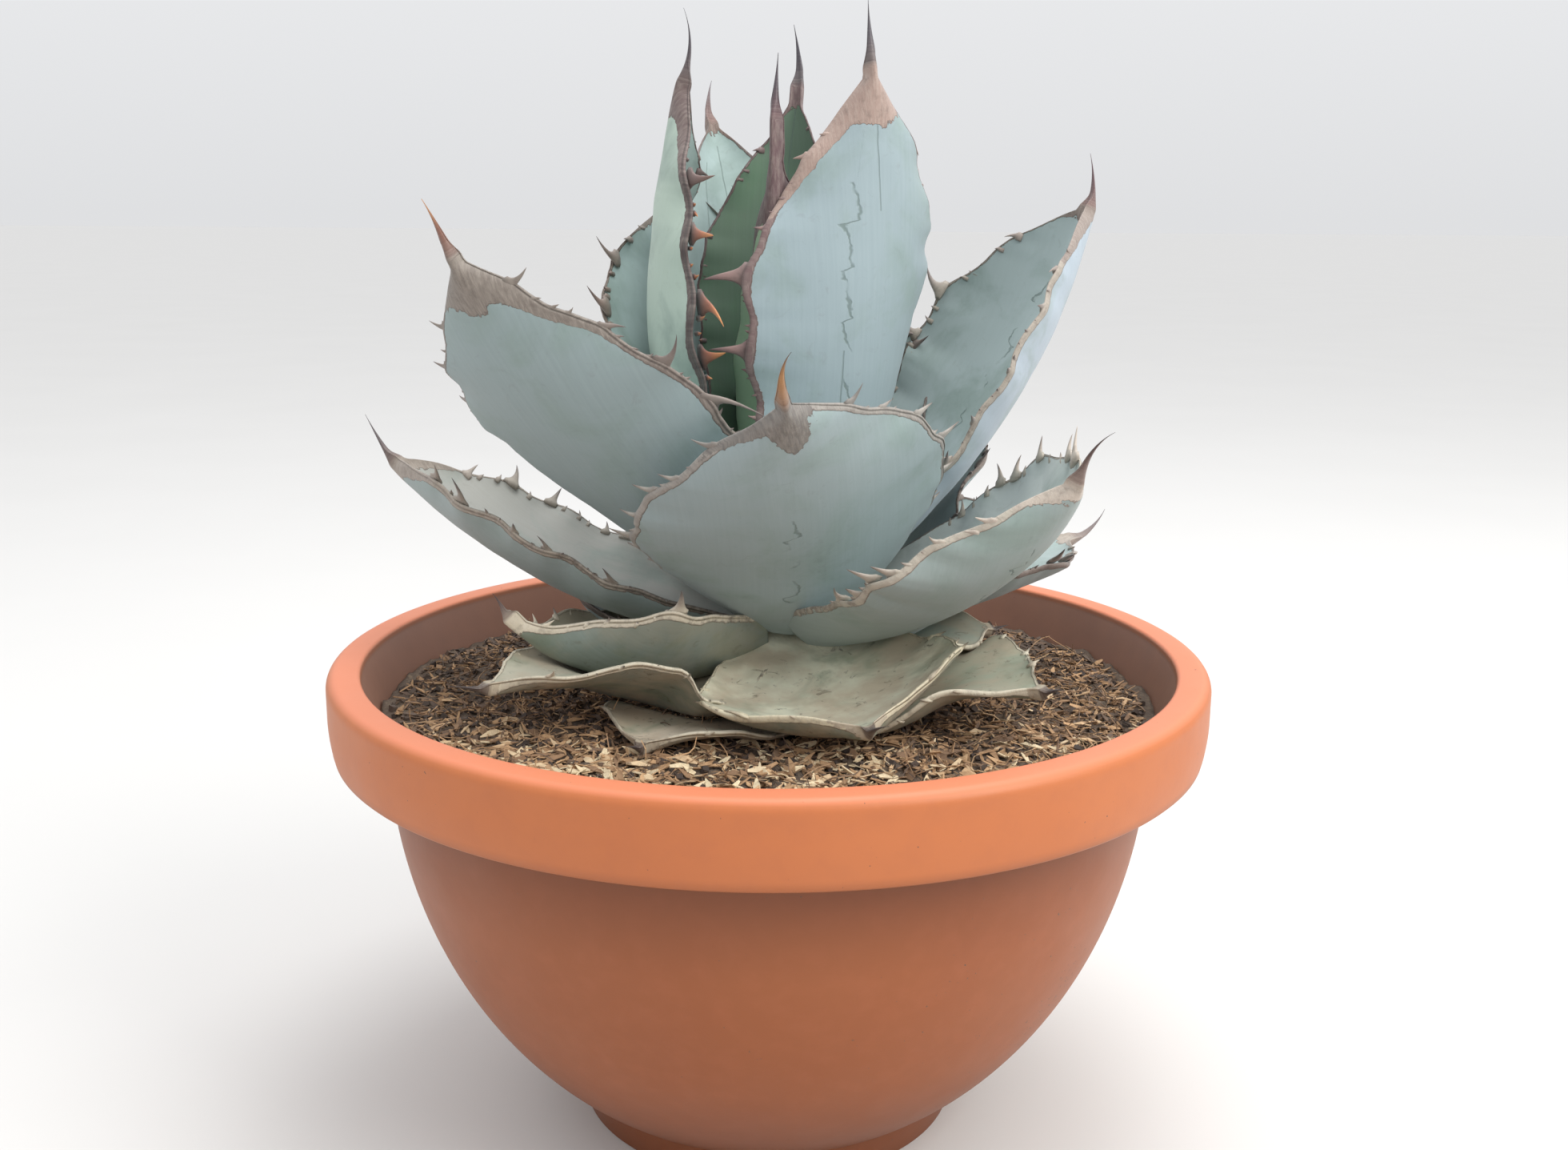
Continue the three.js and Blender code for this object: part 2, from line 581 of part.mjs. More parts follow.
// Stem: a stout cone with a rounded foot in the soil.
function stemGeometry(grow) {
  const sunk = SOIL_LEVEL - STEM_SUNK;
  const top = SOIL_LEVEL + STEM_HEIGHT;
  const profile = [
    [0, sunk - grow],
    [STEM_RADIUS * 0.6 + grow, sunk - grow],
    [STEM_RADIUS + grow, sunk + 10],
    [STEM_RADIUS + grow, SOIL_LEVEL + 20],
    [STEM_RADIUS * 0.5 + grow, SOIL_LEVEL + 45],
    [STEM_TOP_RADIUS + grow, top + grow],
    [0, top + grow],
  ];
  const geometry = latheOf(profile, STEM_SIDES);
  geometry.translate(STEM_X, STEM_Y, 0);
  return geometry;
}

function namedMesh(name, geometry, colour, roughness) {
  const material = new THREE.MeshStandardMaterial({ color: colour, roughness, metalness: 0 });
  const mesh = new THREE.Mesh(geometry, material);
  mesh.name = name;
  return mesh;
}

function boxOf(geometry) {
  geometry.computeBoundingBox();
  return geometry.boundingBox;
}

// Teeth join their blade, but one that would touch another leaf or its teeth is worn off and left out.
function toothedSolid(leaf, blade, others) {
  const points = centreLine(leaf);
  let solid = blade;
  for (const tooth of [...marginTeeth(leaf, -1), ...marginTeeth(leaf, 1)]) {
    const fat = toothGeometry(leaf, points, tooth, GAP);
    const fatBox = boxOf(fat);
    const fatSolid = solidOf(fat);
    const near = others.filter((other) => other.leaf !== leaf && other.box.intersectsBox(fatBox));
    if (near.every((other) => other.solid.intersect(fatSolid).isEmpty())) {
      solid = solid.add(solidOf(toothGeometry(leaf, points, tooth, 0)));
      others.push({ leaf, box: fatBox, solid: fatSolid });
    }
  }
  return largestBody(solid);
}

// The rosette: each blade keeps clear of the stem, of the soil and of every younger blade.
function rosette() {
  const group = new THREE.Group();
  const soilTop = soilGeometry(GAP);
  const others = [{ leaf: null, box: boxOf(soilTop), solid: solidOf(soilTop) }];
  let taken = solidOf(stemGeometry(GAP)).add(others[0].solid);
  const blades = LEAVES.map((leaf) => {
    const blade = largestBody(solidOf(bladeGeometry(leaf, 0)).subtract(taken));
    const fat = bladeGeometry(leaf, GAP);
    others.push({ leaf, box: boxOf(fat), solid: solidOf(fat) });
    taken = taken.add(others[others.length - 1].solid);
    return blade;
  });
  LEAVES.forEach((leaf, index) => {
    const solid = toothedSolid(leaf, blades[index], others);
    group.add(namedMesh(leaf.name, geometryOf(solid), leaf.colour, 0.55));
  });
  return group;
}

const potted = new THREE.Group();
potted.add(namedMesh('pot', potGeometry(), 0xc4734f, 0.5));
const soil = solidOf(soilGeometry(0)).subtract(solidOf(stemGeometry(GAP)));
potted.add(namedMesh('soil', geometryOf(soil), 0x4a3d35, 0.95));
potted.add(namedMesh('stem', stemGeometry(0), 0x8a8f74, 0.8));
potted.add(rosette());

export default potted;
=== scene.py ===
import functools
import itertools
import math
import random

import bpy
import numpy as np
from mathutils import Matrix, Vector
from mathutils.bvhtree import BVHTree


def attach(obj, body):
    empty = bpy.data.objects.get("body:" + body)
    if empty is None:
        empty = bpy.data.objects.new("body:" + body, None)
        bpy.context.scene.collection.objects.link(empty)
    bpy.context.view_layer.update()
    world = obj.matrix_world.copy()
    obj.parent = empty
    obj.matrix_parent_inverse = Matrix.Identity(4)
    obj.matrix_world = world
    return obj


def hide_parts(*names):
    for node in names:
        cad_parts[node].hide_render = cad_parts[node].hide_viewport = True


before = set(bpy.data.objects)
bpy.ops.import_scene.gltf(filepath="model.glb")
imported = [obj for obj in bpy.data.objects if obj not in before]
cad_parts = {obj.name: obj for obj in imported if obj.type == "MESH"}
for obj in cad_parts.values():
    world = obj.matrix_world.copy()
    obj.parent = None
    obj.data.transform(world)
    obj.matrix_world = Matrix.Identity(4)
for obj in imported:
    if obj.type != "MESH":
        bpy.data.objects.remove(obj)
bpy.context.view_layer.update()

# Camera, floor and light
# The plant is seen from a little above its rim at arm's length. It stands on a pale matt floor under a large
# soft light from the upper right and a weaker one overhead, with pale light from all round.
IMAGE_WIDTH = 1960
FOCAL_PIXELS = 2000
SENSOR_WIDTH = 36
CAMERA_PITCH = math.radians(12.73)
CAMERA_ROLL = math.radians(0.39)
CAMERA_TARGET = Vector((0.0064, 0, 0.2552))
CAMERA_DISTANCE = 0.7393
FLOOR_HALF = 40.0

forward = Vector((0, math.cos(CAMERA_PITCH), -math.sin(CAMERA_PITCH)))
level_right = Vector((1, 0, 0))
level_up = level_right.cross(forward)
right = level_right * math.cos(CAMERA_ROLL) + level_up * math.sin(CAMERA_ROLL)
up = level_up * math.cos(CAMERA_ROLL) - level_right * math.sin(CAMERA_ROLL)
lens = bpy.data.cameras.new("camera")
lens.sensor_fit = "HORIZONTAL"
lens.sensor_width = SENSOR_WIDTH
lens.lens = FOCAL_PIXELS / IMAGE_WIDTH * SENSOR_WIDTH
lens.clip_start = 0.01
camera = bpy.data.objects.new("camera", lens)
turn = Matrix((right, up, -forward)).transposed().to_4x4()
camera.matrix_world = Matrix.Translation(CAMERA_TARGET - forward * CAMERA_DISTANCE) @ turn
bpy.context.collection.objects.link(camera)
bpy.context.scene.camera = camera
bpy.context.scene.view_settings.view_transform = "Standard"


def linear(code):
    """An sRGB hex colour as linear RGBA."""
    parts = [int(code[at : at + 2], 16) / 255 for at in (1, 3, 5)]
    return tuple(c / 12.92 if c <= 0.04045 else ((c + 0.055) / 1.055) ** 2.4 for c in parts) + (1.0,)


def add(tree, kind, inputs=(), ramp=(), output=None, **settings):
    """One node with its settings. Each input, by order or by name, is a value or an output to link from."""
    made = tree.nodes.new("ShaderNode" + kind)
    for key, value in settings.items():
        setattr(made, key, value)
    for key, value in inputs.items() if isinstance(inputs, dict) else enumerate(inputs):
        if isinstance(value, bpy.types.NodeSocket):
            tree.links.new(value, made.inputs[key])
        else:
            made.inputs[key].default_value = value
    if ramp:
        stops = made.color_ramp.elements
        while len(stops) < len(ramp):
            stops.new(0.5)
        for stop, (place, colour) in zip(stops, ramp):
            stop.position = place
            stop.color = colour
    if output is not None:
        return made.outputs[output]
    return next((socket for socket in made.outputs if socket.enabled), made)


def new_finish(name):
    """An empty node material, what adds its nodes, and the place on the piece, in metres."""
    material = bpy.data.materials.new(name)
    material.use_nodes = True
    material.node_tree.nodes.clear()
    node = functools.partial(add, material.node_tree)
    return material, node, node("TexCoord", output="Object")


def grains(place, size_mm, detail=3.0, rough=0.55, warp=0.0):
    """A noise's inputs for bumps of a given size in mm, at places in metres."""
    inputs = {"Vector": place, "Scale": 1000 / size_mm, "Detail": detail}
    return {**inputs, "Roughness": rough, "Distortion": warp}


def painted_concrete():
    """Matt painted floor: pale, with a faint cloudiness and no shine."""
    material, node, place = new_finish("painted_floor")
    cloud = node("TexNoise", grains(place, 300))
    tone = node("Mix", {0: cloud, 6: linear("#d3d2d0"), 7: linear("#d7d6d4")}, data_type="RGBA")
    shader = node("BsdfPrincipled", {"Base Color": tone, "Roughness": 0.9, "IOR": 1.45})
    node("OutputMaterial", {"Surface": shader})
    return material


floor_mesh = bpy.data.meshes.new("floor")
corners = [(-FLOOR_HALF, -FLOOR_HALF, 0), (FLOOR_HALF, -FLOOR_HALF, 0)]
corners += [(FLOOR_HALF, FLOOR_HALF, 0), (-FLOOR_HALF, FLOOR_HALF, 0)]
floor_mesh.from_pydata(corners, [], [(0, 1, 2, 3)])
floor = bpy.data.objects.new("floor", floor_mesh)
floor_mesh.materials.append(painted_concrete())
bpy.context.collection.objects.link(floor)

world = bpy.data.worlds.new("studio")
bpy.context.scene.world = world
world.use_nodes = True
# The room: as pale as the floor at the horizon, brighter overhead.
sky = world.node_tree
heading = add(sky, "TexCoord", output="Generated")
height = add(sky, "SeparateXYZ", [heading], output="Z")
glow = add(sky, "MapRange", (height, 0, 1, 0.76, 1.31))
sky.nodes["Background"].inputs["Color"].default_value = linear("#fcfdff")
sky.links.new(glow, sky.nodes["Background"].inputs["Strength"])


def soft_light(name, place, aim, size, power, tint):
    """A square soft box."""
    lamp = bpy.data.lights.new(name, "AREA")
    lamp.size = size
    lamp.energy = power
    lamp.color = linear(tint)[:3]
    box = bpy.data.objects.new(name, lamp)
    box.location = place
    box.rotation_euler = (Vector(aim) - Vector(place)).to_track_quat("-Z", "Y").to_euler()
    bpy.context.collection.objects.link(box)


soft_light("key_light", (1.7, -1.15, 1.8), (0, 0, 0.3), 1.4, 42, "#fffdf8")
soft_light("top_light", (0.3, 0.3, 2.2), (0, 0, 0.3), 1.2, 18, "#ffffff")

# Pot
# A bowl pot of injection-moulded polypropylene in terracotta colour. Its rim is folded over into a hollow
# skirt, and the foot is a low ring. One moulding, turned about its axis.
MM = 0.001
POT_HEIGHT = 220
RIM_RADIUS = 200
LIP_RADIUS = 185
SKIRT_HEIGHT = 35
SKIRT_TAPER = 2
RIM_ROUND = 5
LIP_ROUND = 2
POT_WALL = 4
BOWL_RADIUS = 175
BOWL_DEPTH = 200
BOWL_TOP = POT_HEIGHT - SKIRT_HEIGHT
SLOPE_START = BOWL_TOP - 5
FOOT_HEIGHT = 15
FOOT_RADIUS = 91
FOOT_TAPER = 2
FOOT_RECESS = 5
FOOT_RING = 6
POT_SIDES = 288


def bowl_radius(height, inset=0.0):
    drop = np.minimum((BOWL_TOP - height) / (BOWL_DEPTH - inset), 1)
    return (BOWL_RADIUS - inset) * np.sqrt(1 - drop * drop)


def slope_radius(height):
    """The inner wall where it slopes out to the lip."""
    start = bowl_radius(SLOPE_START, POT_WALL)
    share = (height - SLOPE_START) / (POT_HEIGHT - LIP_ROUND - SLOPE_START)
    return start + (LIP_RADIUS - start) * share


def corner_round(centre, radius, first, last, steps=6):
    angles = np.radians(np.linspace(first, last, steps))
    return [(centre[0] + radius * math.cos(a), centre[1] + radius * math.sin(a)) for a in angles]


def make_piece(name, points_mm, faces, material, smooth=True):
    """A mesh object from points in mm and a list of face arrays, in the frame's own place."""
    mesh = bpy.data.meshes.new(name)
    mesh.vertices.add(len(points_mm))
    mesh.vertices.foreach_set("co", (np.asarray(points_mm, np.float64) * MM).astype(np.float32).ravel())
    flat = np.concatenate([np.asarray(f, np.int32).ravel() for f in faces])
    sizes = np.concatenate([np.full(len(f), np.shape(f)[1], np.int32) for f in faces])
    mesh.loops.add(len(flat))
    mesh.loops.foreach_set("vertex_index", flat)
    mesh.polygons.add(len(sizes))
    mesh.polygons.foreach_set("loop_start", np.concatenate([[0], np.cumsum(sizes)[:-1]]).astype(np.int32))
    mesh.polygons.foreach_set("use_smooth", np.full(len(sizes), smooth))
    mesh.update(calc_edges=True)
    mesh.materials.append(material)
    piece = bpy.data.objects.new(name, mesh)
    bpy.context.collection.objects.link(piece)
    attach(piece, "root")
    return piece


def ring_faces(rows, columns, offset=0):
    """Quads between rows of points that close round on themselves."""
    row, column = np.meshgrid(np.arange(rows - 1), np.arange(columns), indexing="ij")
    after = (column + 1) % columns
    corners = [(row, column), (row, after), (row + 1, after), (row + 1, column)]
    return np.stack([a * columns + b for a, b in corners], -1).reshape(-1, 4) + offset


def turned(profile, sides):
    """Points and faces of a profile, from axis to axis, turned round."""
    inner = np.array(profile[1:-1])
    angles = np.linspace(0, 2 * math.pi, sides, endpoint=False)
    rows = [np.stack([r * np.cos(angles), r * np.sin(angles), np.full(sides, z)], -1) for r, z in inner]
    points = np.concatenate(rows + [[(0, 0, profile[0][1]), (0, 0, profile[-1][1])]])
    ring = np.arange(sides)
    last = (len(inner) - 1) * sides
    bottom = np.stack([np.full(sides, last + sides), (ring + 1) % sides, ring], -1)
    top = np.stack([np.full(sides, last + sides + 1), last + ring, last + (ring + 1) % sides], -1)
    return points, [ring_faces(len(inner), sides), bottom, top]


def moulded_polypropylene():
    """Satin moulded plastic, coloured all through: soft wide highlights, faint clouding, splashed earth."""
    material, node, place = new_finish("moulded_polypropylene")
    cloud = node("TexNoise", grains(place, 90, 2))
    rim_painted_light = node("Mix", {0: cloud, 6: linear("#b66638"), 7: linear("#bf6f3f")}, data_type="RGBA")
    bowl_painted_shade = node("Mix", {0: cloud, 6: linear("#8f4c26"), 7: linear("#96542b")}, data_type="RGBA")
    # Painted light and shade: the rim is painted lighter and the bowl under it darker.
    parts = node("SeparateXYZ", [place]).node.outputs
    rim_light_share = node("MapRange", (parts[2], (BOWL_TOP - 5) * MM, (BOWL_TOP + 5) * MM))
    clay = node("Mix", {0: rim_light_share, 6: bowl_painted_shade, 7: rim_painted_light}, data_type="RGBA")
    scuffed = node("MapRange", (node("TexNoise", grains(place, 9, 4)), 0.45, 0.8, 0, 0.25))
    clay = node("Mix", {0: scuffed, 6: clay, 7: linear("#a85f3c")}, data_type="RGBA")
    # Painted shade under the skirt and near the foot.
    for start, end in ((BOWL_TOP - 50, BOWL_TOP - 7), (75, 20)):
        painted_shade = node("MapRange", (parts[2], start * MM, end * MM, 0, 0.6))
        below = node("MapRange", (parts[2], (BOWL_TOP - 1) * MM, (BOWL_TOP - 3) * MM))
        painted_shade = node("Math", (painted_shade, below), operation="MULTIPLY")
        clay = node("Mix", {0: painted_shade, 6: clay, 7: linear("#6b3719")}, data_type="RGBA")
    # Painted light: the top of the rim is painted lighter.
    rim_top_painted_light = node("MapRange", (parts[2], (POT_HEIGHT - 2.2) * MM, (POT_HEIGHT - 0.2) * MM))
    clay = node("Mix", {0: rim_top_painted_light, 6: clay, 7: linear("#d27d59")}, data_type="RGBA")
    # Dust from the mix lies on the wall inside the lip; its dull dark brown is partly painted shade.
    flat = node("VectorMath", (place, (1, 1, 0)), operation="MULTIPLY")
    radius = node("VectorMath", [flat], operation="LENGTH")
    dust_and_shade_share = node("MapRange", (radius, (LIP_RADIUS + 0.6) * MM, (LIP_RADIUS - 0.4) * MM))
    inside = node("MapRange", (parts[2], (BOWL_TOP + 1) * MM, (BOWL_TOP + 5) * MM))
    dust_and_shade_share = node("Math", (dust_and_shade_share, inside), operation="MULTIPLY")
    patches = node("TexNoise", grains(place, 14, 4))
    dust_and_shade = node("Mix", {0: patches, 6: linear("#976c58"), 7: linear("#876354")}, data_type="RGBA")
    clay = node("Mix", {0: dust_and_shade_share, 6: clay, 7: dust_and_shade}, data_type="RGBA")
    # Earth splashed up in watering: specks about 1 mm across, more of them low on the right.
    right_share = node("MapRange", (parts[0], 20 * MM, 120 * MM))
    height_share = node("MapRange", (parts[2], BOWL_TOP * MM, 60 * MM, 0.12, 1))
    side = node("Math", (right_share, height_share), operation="MULTIPLY")
    cloud = node("MapRange", (node("TexNoise", grains(place, 35, 3)), 0.42, 0.7))
    amount = node("Math", (side, cloud), operation="MULTIPLY")
    limit = node("MapRange", (amount, 0, 1, 0.80, 0.62))
    speck = node("Math", (node("TexNoise", grains(place, 1.6, 1, 0.4)), limit), operation="SUBTRACT")
    speck = node("MapRange", (speck, 0, 0.03))
    colour = node("Mix", {0: speck, 6: clay, 7: linear("#5a4536")}, data_type="RGBA")
    rough = node("MapRange", (node("TexNoise", grains(place, 25, 4)), 0, 1, 0.40, 0.54))
    lift = node("Math", (node("TexNoise", grains(place, 0.9, 2)), 0.15), operation="MULTIPLY")
    lift = node("Math", (lift, speck))
    bump = node("Bump", {"Height": lift, "Strength": 0.35, "Distance": 0.0004})
    shader = node("BsdfPrincipled", {"Base Color": colour, "Roughness": rough, "IOR": 1.49, "Normal": bump})
    node("OutputMaterial", {"Surface": shader})
    return material


skirt_foot = RIM_RADIUS - SKIRT_TAPER
skirt_inside = skirt_foot - POT_WALL
foot_edge = FOOT_RADIUS - FOOT_TAPER
pot_profile = [(0, FOOT_RECESS), (60, FOOT_RECESS), (foot_edge - FOOT_RING - FOOT_TAPER, FOOT_RECESS)]
pot_profile += [(foot_edge - FOOT_RING, 0.6), (foot_edge - FOOT_RING + 0.6, 0), (foot_edge - 0.8, 0)]
pot_profile += [
    (foot_edge, 0.8), (FOOT_RADIUS - 0.2, FOOT_HEIGHT - 1), (FOOT_RADIUS + 0.4, FOOT_HEIGHT + 1)
]
bowl_heights = FOOT_HEIGHT + 2 + (BOWL_TOP - FOOT_HEIGHT - 2) * np.linspace(0, 1, 44) ** 1.3
pot_profile += [(bowl_radius(z), z) for z in bowl_heights]
pot_profile += [
    (BOWL_RADIUS + 0.6, BOWL_TOP + 8), (LIP_RADIUS - LIP_ROUND, POT_HEIGHT - RIM_ROUND - POT_WALL)
]
pot_profile += [(skirt_inside - 2, POT_HEIGHT - RIM_ROUND - 1), (skirt_inside, POT_HEIGHT - RIM_ROUND - 3)]
pot_profile += [(skirt_inside, BOWL_TOP + 0.5), (skirt_inside + 0.5, BOWL_TOP), (skirt_foot - 1, BOWL_TOP)]
pot_profile += [(skirt_foot, BOWL_TOP + 1)]
skirt_heights = np.linspace(BOWL_TOP + 4, POT_HEIGHT - RIM_ROUND - 1, 9)
middle_height = POT_HEIGHT - SKIRT_HEIGHT / 2
skirt_swell = np.clip((skirt_heights - BOWL_TOP) / (middle_height - BOWL_TOP), 0, 1)
skirt_radii = [skirt_foot + SKIRT_TAPER * math.sin(math.pi / 2 * s) for s in skirt_swell]
pot_profile += list(zip(skirt_radii, skirt_heights))
pot_profile += corner_round((RIM_RADIUS - RIM_ROUND, POT_HEIGHT - RIM_ROUND), RIM_ROUND, 5, 90, 8)
pot_profile += corner_round((LIP_RADIUS + LIP_ROUND, POT_HEIGHT - LIP_ROUND), LIP_ROUND, 90, 185, 6)
pot_profile += [(slope_radius(z), z) for z in np.linspace(POT_HEIGHT - 4, SLOPE_START + 2, 6)]
pot_profile += [(bowl_radius(z, POT_WALL), z) for z in np.linspace(SLOPE_START, FOOT_RECESS + POT_WALL, 24)]
pot_profile += [(0, FOOT_RECESS + POT_WALL)]
pot_points, pot_faces = turned(pot_profile, POT_SIDES)
pot = make_piece("bowl_pot", pot_points, pot_faces, moulded_polypropylene())
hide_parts("pot")

# Potting mix
# Peat and coir with shredded bark and wood fibre, filled in loose to 2 cm under the lip and crusted by
# watering: a lumpy bed, with crumbs, slivers of bark and loose fibres lying on it.
SOIL_LEVEL = POT_HEIGHT - 21
SOIL_HEAP = 2
SOIL_LUMP = 1
SOIL_GAP = 0.5
STEM_X = 10
STEM_Y = 5
SOIL_SIDES = 420
SOIL_RINGS = 96
CRUMBS = 4200
SLIVERS = 7600
FIBRES = 1900


def smooth_step(low, high, value):
    t = np.clip((value - low) / (high - low), 0, 1)
    return t * t * (3 - 2 * t)


def lumps(points, size):
    """Smooth noise from -1 to 1 whose bumps are about size across."""
    cells = np.floor(points / size)
    within = points / size - cells
    within = within * within * (3 - 2 * within)
    total = 0
    for corner in itertools.product((0, 1), repeat=3):
        value = np.sin((cells + corner) @ np.array([127.1, 311.7, 74.7])) * 43758.5453
        weight = np.prod(np.where(np.array(corner) == 1, within, 1 - within), -1)
        total = total + weight * (value - np.floor(value))
    return 2 * total - 1


def soil_height(x, y):
    reach = np.hypot(x - STEM_X, y - STEM_Y) / BOWL_RADIUS
    heap = SOIL_HEAP * (1 - smooth_step(0, 1, reach))
    waves = np.sin(x * 0.11 + 1.3 * np.sin(y * 0.07)) * np.cos(y * 0.13 - x * 0.04)
    return SOIL_LEVEL + heap + SOIL_LUMP * waves


def soil_surface(x, y):
    """The bed's top with its crumbly relief: clods of 12 mm, lumps of 5 mm and grit of 2 mm."""
    flat = np.stack([x, y, 0 * x], -1)
    return soil_height(x, y) + 1.3 * lumps(flat, 12) + 1.1 * lumps(flat, 5) + 0.5 * lumps(flat, 2.2) - 0.6


def potting_mix(name, light):
    """Damp peat and coir: dark, dull, full of small crumbs. light brings in the paler wood fibre."""
    material, node, place = new_finish(name)
    crumbs = node("TexNoise", grains(place, 6, 5, 0.7))
    dark = node("Mix", {0: crumbs, 6: linear("#4d423b"), 7: linear("#857465")}, data_type="RGBA")
    pale = node("MapRange", (node("TexNoise", grains(place, 2.4, 4, 0.7)), 0.5, 0.72, 0, light))
    colour = node("Mix", {0: pale, 6: dark, 7: linear("#a8957c")}, data_type="RGBA")
    damp = node("MapRange", (node("TexNoise", grains(place, 60, 2)), 0.4, 0.65, 0, 0.45))
    colour = node("Mix", {0: damp, 6: colour, 7: linear("#3a302b")}, data_type="RGBA")
    relief = node("TexNoise", grains(place, 1.2, 6, 0.7))
    bump = node("Bump", {"Height": relief, "Strength": 0.9, "Distance": 0.0012})
    shader = node("BsdfPrincipled", {"Base Color": colour, "Roughness": 0.95, "IOR": 1.4, "Normal": bump})
    node("OutputMaterial", {"Surface": shader})
    return material


soil_edge = slope_radius(SOIL_LEVEL - SOIL_LUMP) - SOIL_GAP
soil_profile = [(0, FOOT_RECESS + POT_WALL + SOIL_GAP)]
soil_heights = (FOOT_RECESS + POT_WALL + SOIL_GAP, 25, 45, 70, 100, 140)
soil_profile += [(bowl_radius(z, POT_WALL + SOIL_GAP), z) for z in soil_heights]
soil_profile += [(bowl_radius(SLOPE_START, POT_WALL + SOIL_GAP), SLOPE_START)]
soil_sides = len(soil_profile) - 1
soil_profile += [(r, SOIL_LEVEL) for r in np.linspace(soil_edge, 1.5, SOIL_RINGS)]
soil_profile += [(0, SOIL_LEVEL)]
soil_points, soil_faces = turned(soil_profile, SOIL_SIDES)
top_rows = slice(soil_sides * SOIL_SIDES, (soil_sides + SOIL_RINGS) * SOIL_SIDES)
soil_points[top_rows, 2] = soil_surface(soil_points[top_rows, 0], soil_points[top_rows, 1])
soil_points[-1, 2] = soil_surface(np.zeros(1), np.zeros(1))[0]
soil = make_piece("potting_mix", soil_points, soil_faces, potting_mix("peat_and_coir", 0.55))
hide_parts("soil")


def set_layer(mesh, name, kind, values):
    """Stores one value or colour per point for the materials to read."""
    layer = mesh.attributes.new(name, kind, "POINT")
    field = {"FLOAT_COLOR": "color", "FLOAT_VECTOR": "vector"}.get(kind, "value")
    layer.data.foreach_set(field, np.asarray(values, np.float32).ravel())


def turned_about(rng, steepest):
    """A random pose for a scrap that lies on the bed: any heading, tilted up to steepest degrees."""
    heading = Matrix.Rotation(rng.uniform(0, 2 * math.pi), 3, "Z")
    tilt = Matrix.Rotation(math.radians(rng.uniform(-steepest, steepest)), 3, "Y")
    roll = Matrix.Rotation(math.radians(rng.uniform(-50, 50)), 3, "X")
    return np.array(heading @ tilt @ roll)


def spots_on_bed(rng, count, margin):
    """Places spread evenly over the bed, with the bed's height at each."""
    angles = [rng.uniform(0, 2 * math.pi) for _ in range(count)]
    radii = [(soil_edge - margin) * math.sqrt(rng.random()) for _ in range(count)]
    x, y = radii * np.cos(angles), radii * np.sin(angles)
    return np.stack([x, y, soil_surface(x, y)], -1)


def scatter(name, count, seed, margin, scrap, faces, material, shade_of):
    """Scraps of one kind, all in one mesh: scrap gives the points of one, and each gets its own shade."""
    rng = random.Random(seed)
    points, all_faces, shades, base = [], [[] for _ in faces], [], 0
    for spot in spots_on_bed(rng, count, margin):
        shape = scrap(rng, *spot[:2])
        points.append(shape + spot)
        for kind, rows in zip(all_faces, faces):
            kind.append(rows + base)
        base += len(shape)
        shades.append(np.full(len(shape), shade_of(rng, *spot[:2])))
    joined = [np.concatenate(kind) for kind in all_faces]
    piece = make_piece(name, np.concatenate(points), joined, material, smooth=False)
    set_layer(piece.data, "shade", "FLOAT", np.concatenate(shades))


def paleness_at(x, y):
    """How pale the scraps are: more so to the front, less behind, in drifts of 3 cm."""
    drift = float(lumps(np.array([[x, y, 7.0]]), 30)[0])
    return float(np.clip(0.46 + 0.0003 * x - 0.0042 * y + 0.26 * drift, 0, 1))


def shredded_bark():
    """Shredded bark and wood fibre: dry and dull, from blackish bark to straw-coloured wood."""
    material, node, place = new_finish("shredded_bark")
    shade = node("Attribute", output="Fac", attribute_name="shade")
    codes = {0.0: "#3c332f", 0.3: "#65564c", 0.55: "#957558", 0.8: "#c6a078", 1.0: "#e6d3b0"}
    stops = [(spot, linear(code)) for spot, code in codes.items()]
    tone = node("ValToRGB", {"Fac": shade}, ramp=stops)
    dirt = node("MapRange", (node("TexNoise", grains(place, 1.5, 4, 0.7)), 0.4, 0.75, 0, 0.35))
    colour = node("Mix", {0: dirt, 6: tone, 7: linear("#57463a")}, data_type="RGBA")
    relief = node("TexNoise", grains(place, 0.7, 3))
    bump = node("Bump", {"Height": relief, "Strength": 0.6, "Distance": 0.0004})
    shader = node("BsdfPrincipled", {"Base Color": colour, "Roughness": 0.85, "IOR": 1.5, "Normal": bump})
    node("OutputMaterial", {"Surface": shader})
    return material


bark = shredded_bark()


def crumb(rng, x, y):
    """A crumb of peat: a dented eight-pointed lump."""
    size = rng.uniform(0.8, 2.6)
    ball = np.array(list(itertools.product((-1, 1), repeat=3)), float) * 0.6
    ball = ball * np.array([[rng.uniform(0.6, 1.1)] * 3 for _ in range(8)])
    return ball @ turned_about(rng, 40).T * size + (0, 0, size * 0.25)


box_faces = np.array([(0, 1, 3, 2), (4, 6, 7, 5), (0, 4, 5, 1), (2, 3, 7, 6), (0, 2, 6, 4), (1, 5, 7, 3)])
scatter("peat_crumbs", CRUMBS, 11, 4, crumb, [box_faces], bark, lambda rng, x, y: rng.random() ** 2 * 0.62)


def sliver(rng, x, y):
    """A sliver of bark or wood, coarser to the front: split to a point at one or both ends, and bent."""
    coarse = float(smooth_step(0, 130, -y))
    length = rng.uniform(3.5, 8.5) * (1 + 0.35 * coarse)
    width = rng.uniform(0.6, 2.0) * (0.5 + 0.08 * length) * (1 + 0.5 * coarse)
    thick = rng.uniform(0.25, 0.6)
    bend = rng.uniform(-0.1, 0.1) * length
    taper = (rng.uniform(0.1, 0.6), 1, rng.uniform(0.1, 0.7))
    rows = []
    for place, share in zip((-0.5, 0, 0.5), taper):
        x, z = place * length, bend * (1 - 4 * place * place)
        for y, up_z in ((-1, -1), (1, -1), (1, 1), (-1, 1)):
            rows.append((x, y * width * share / 2, z + up_z * thick / 2))
    lift = rng.uniform(0.2, 1.0) + 0.08 * length
    return np.array(rows) @ turned_about(rng, 24).T + (0, 0, lift)


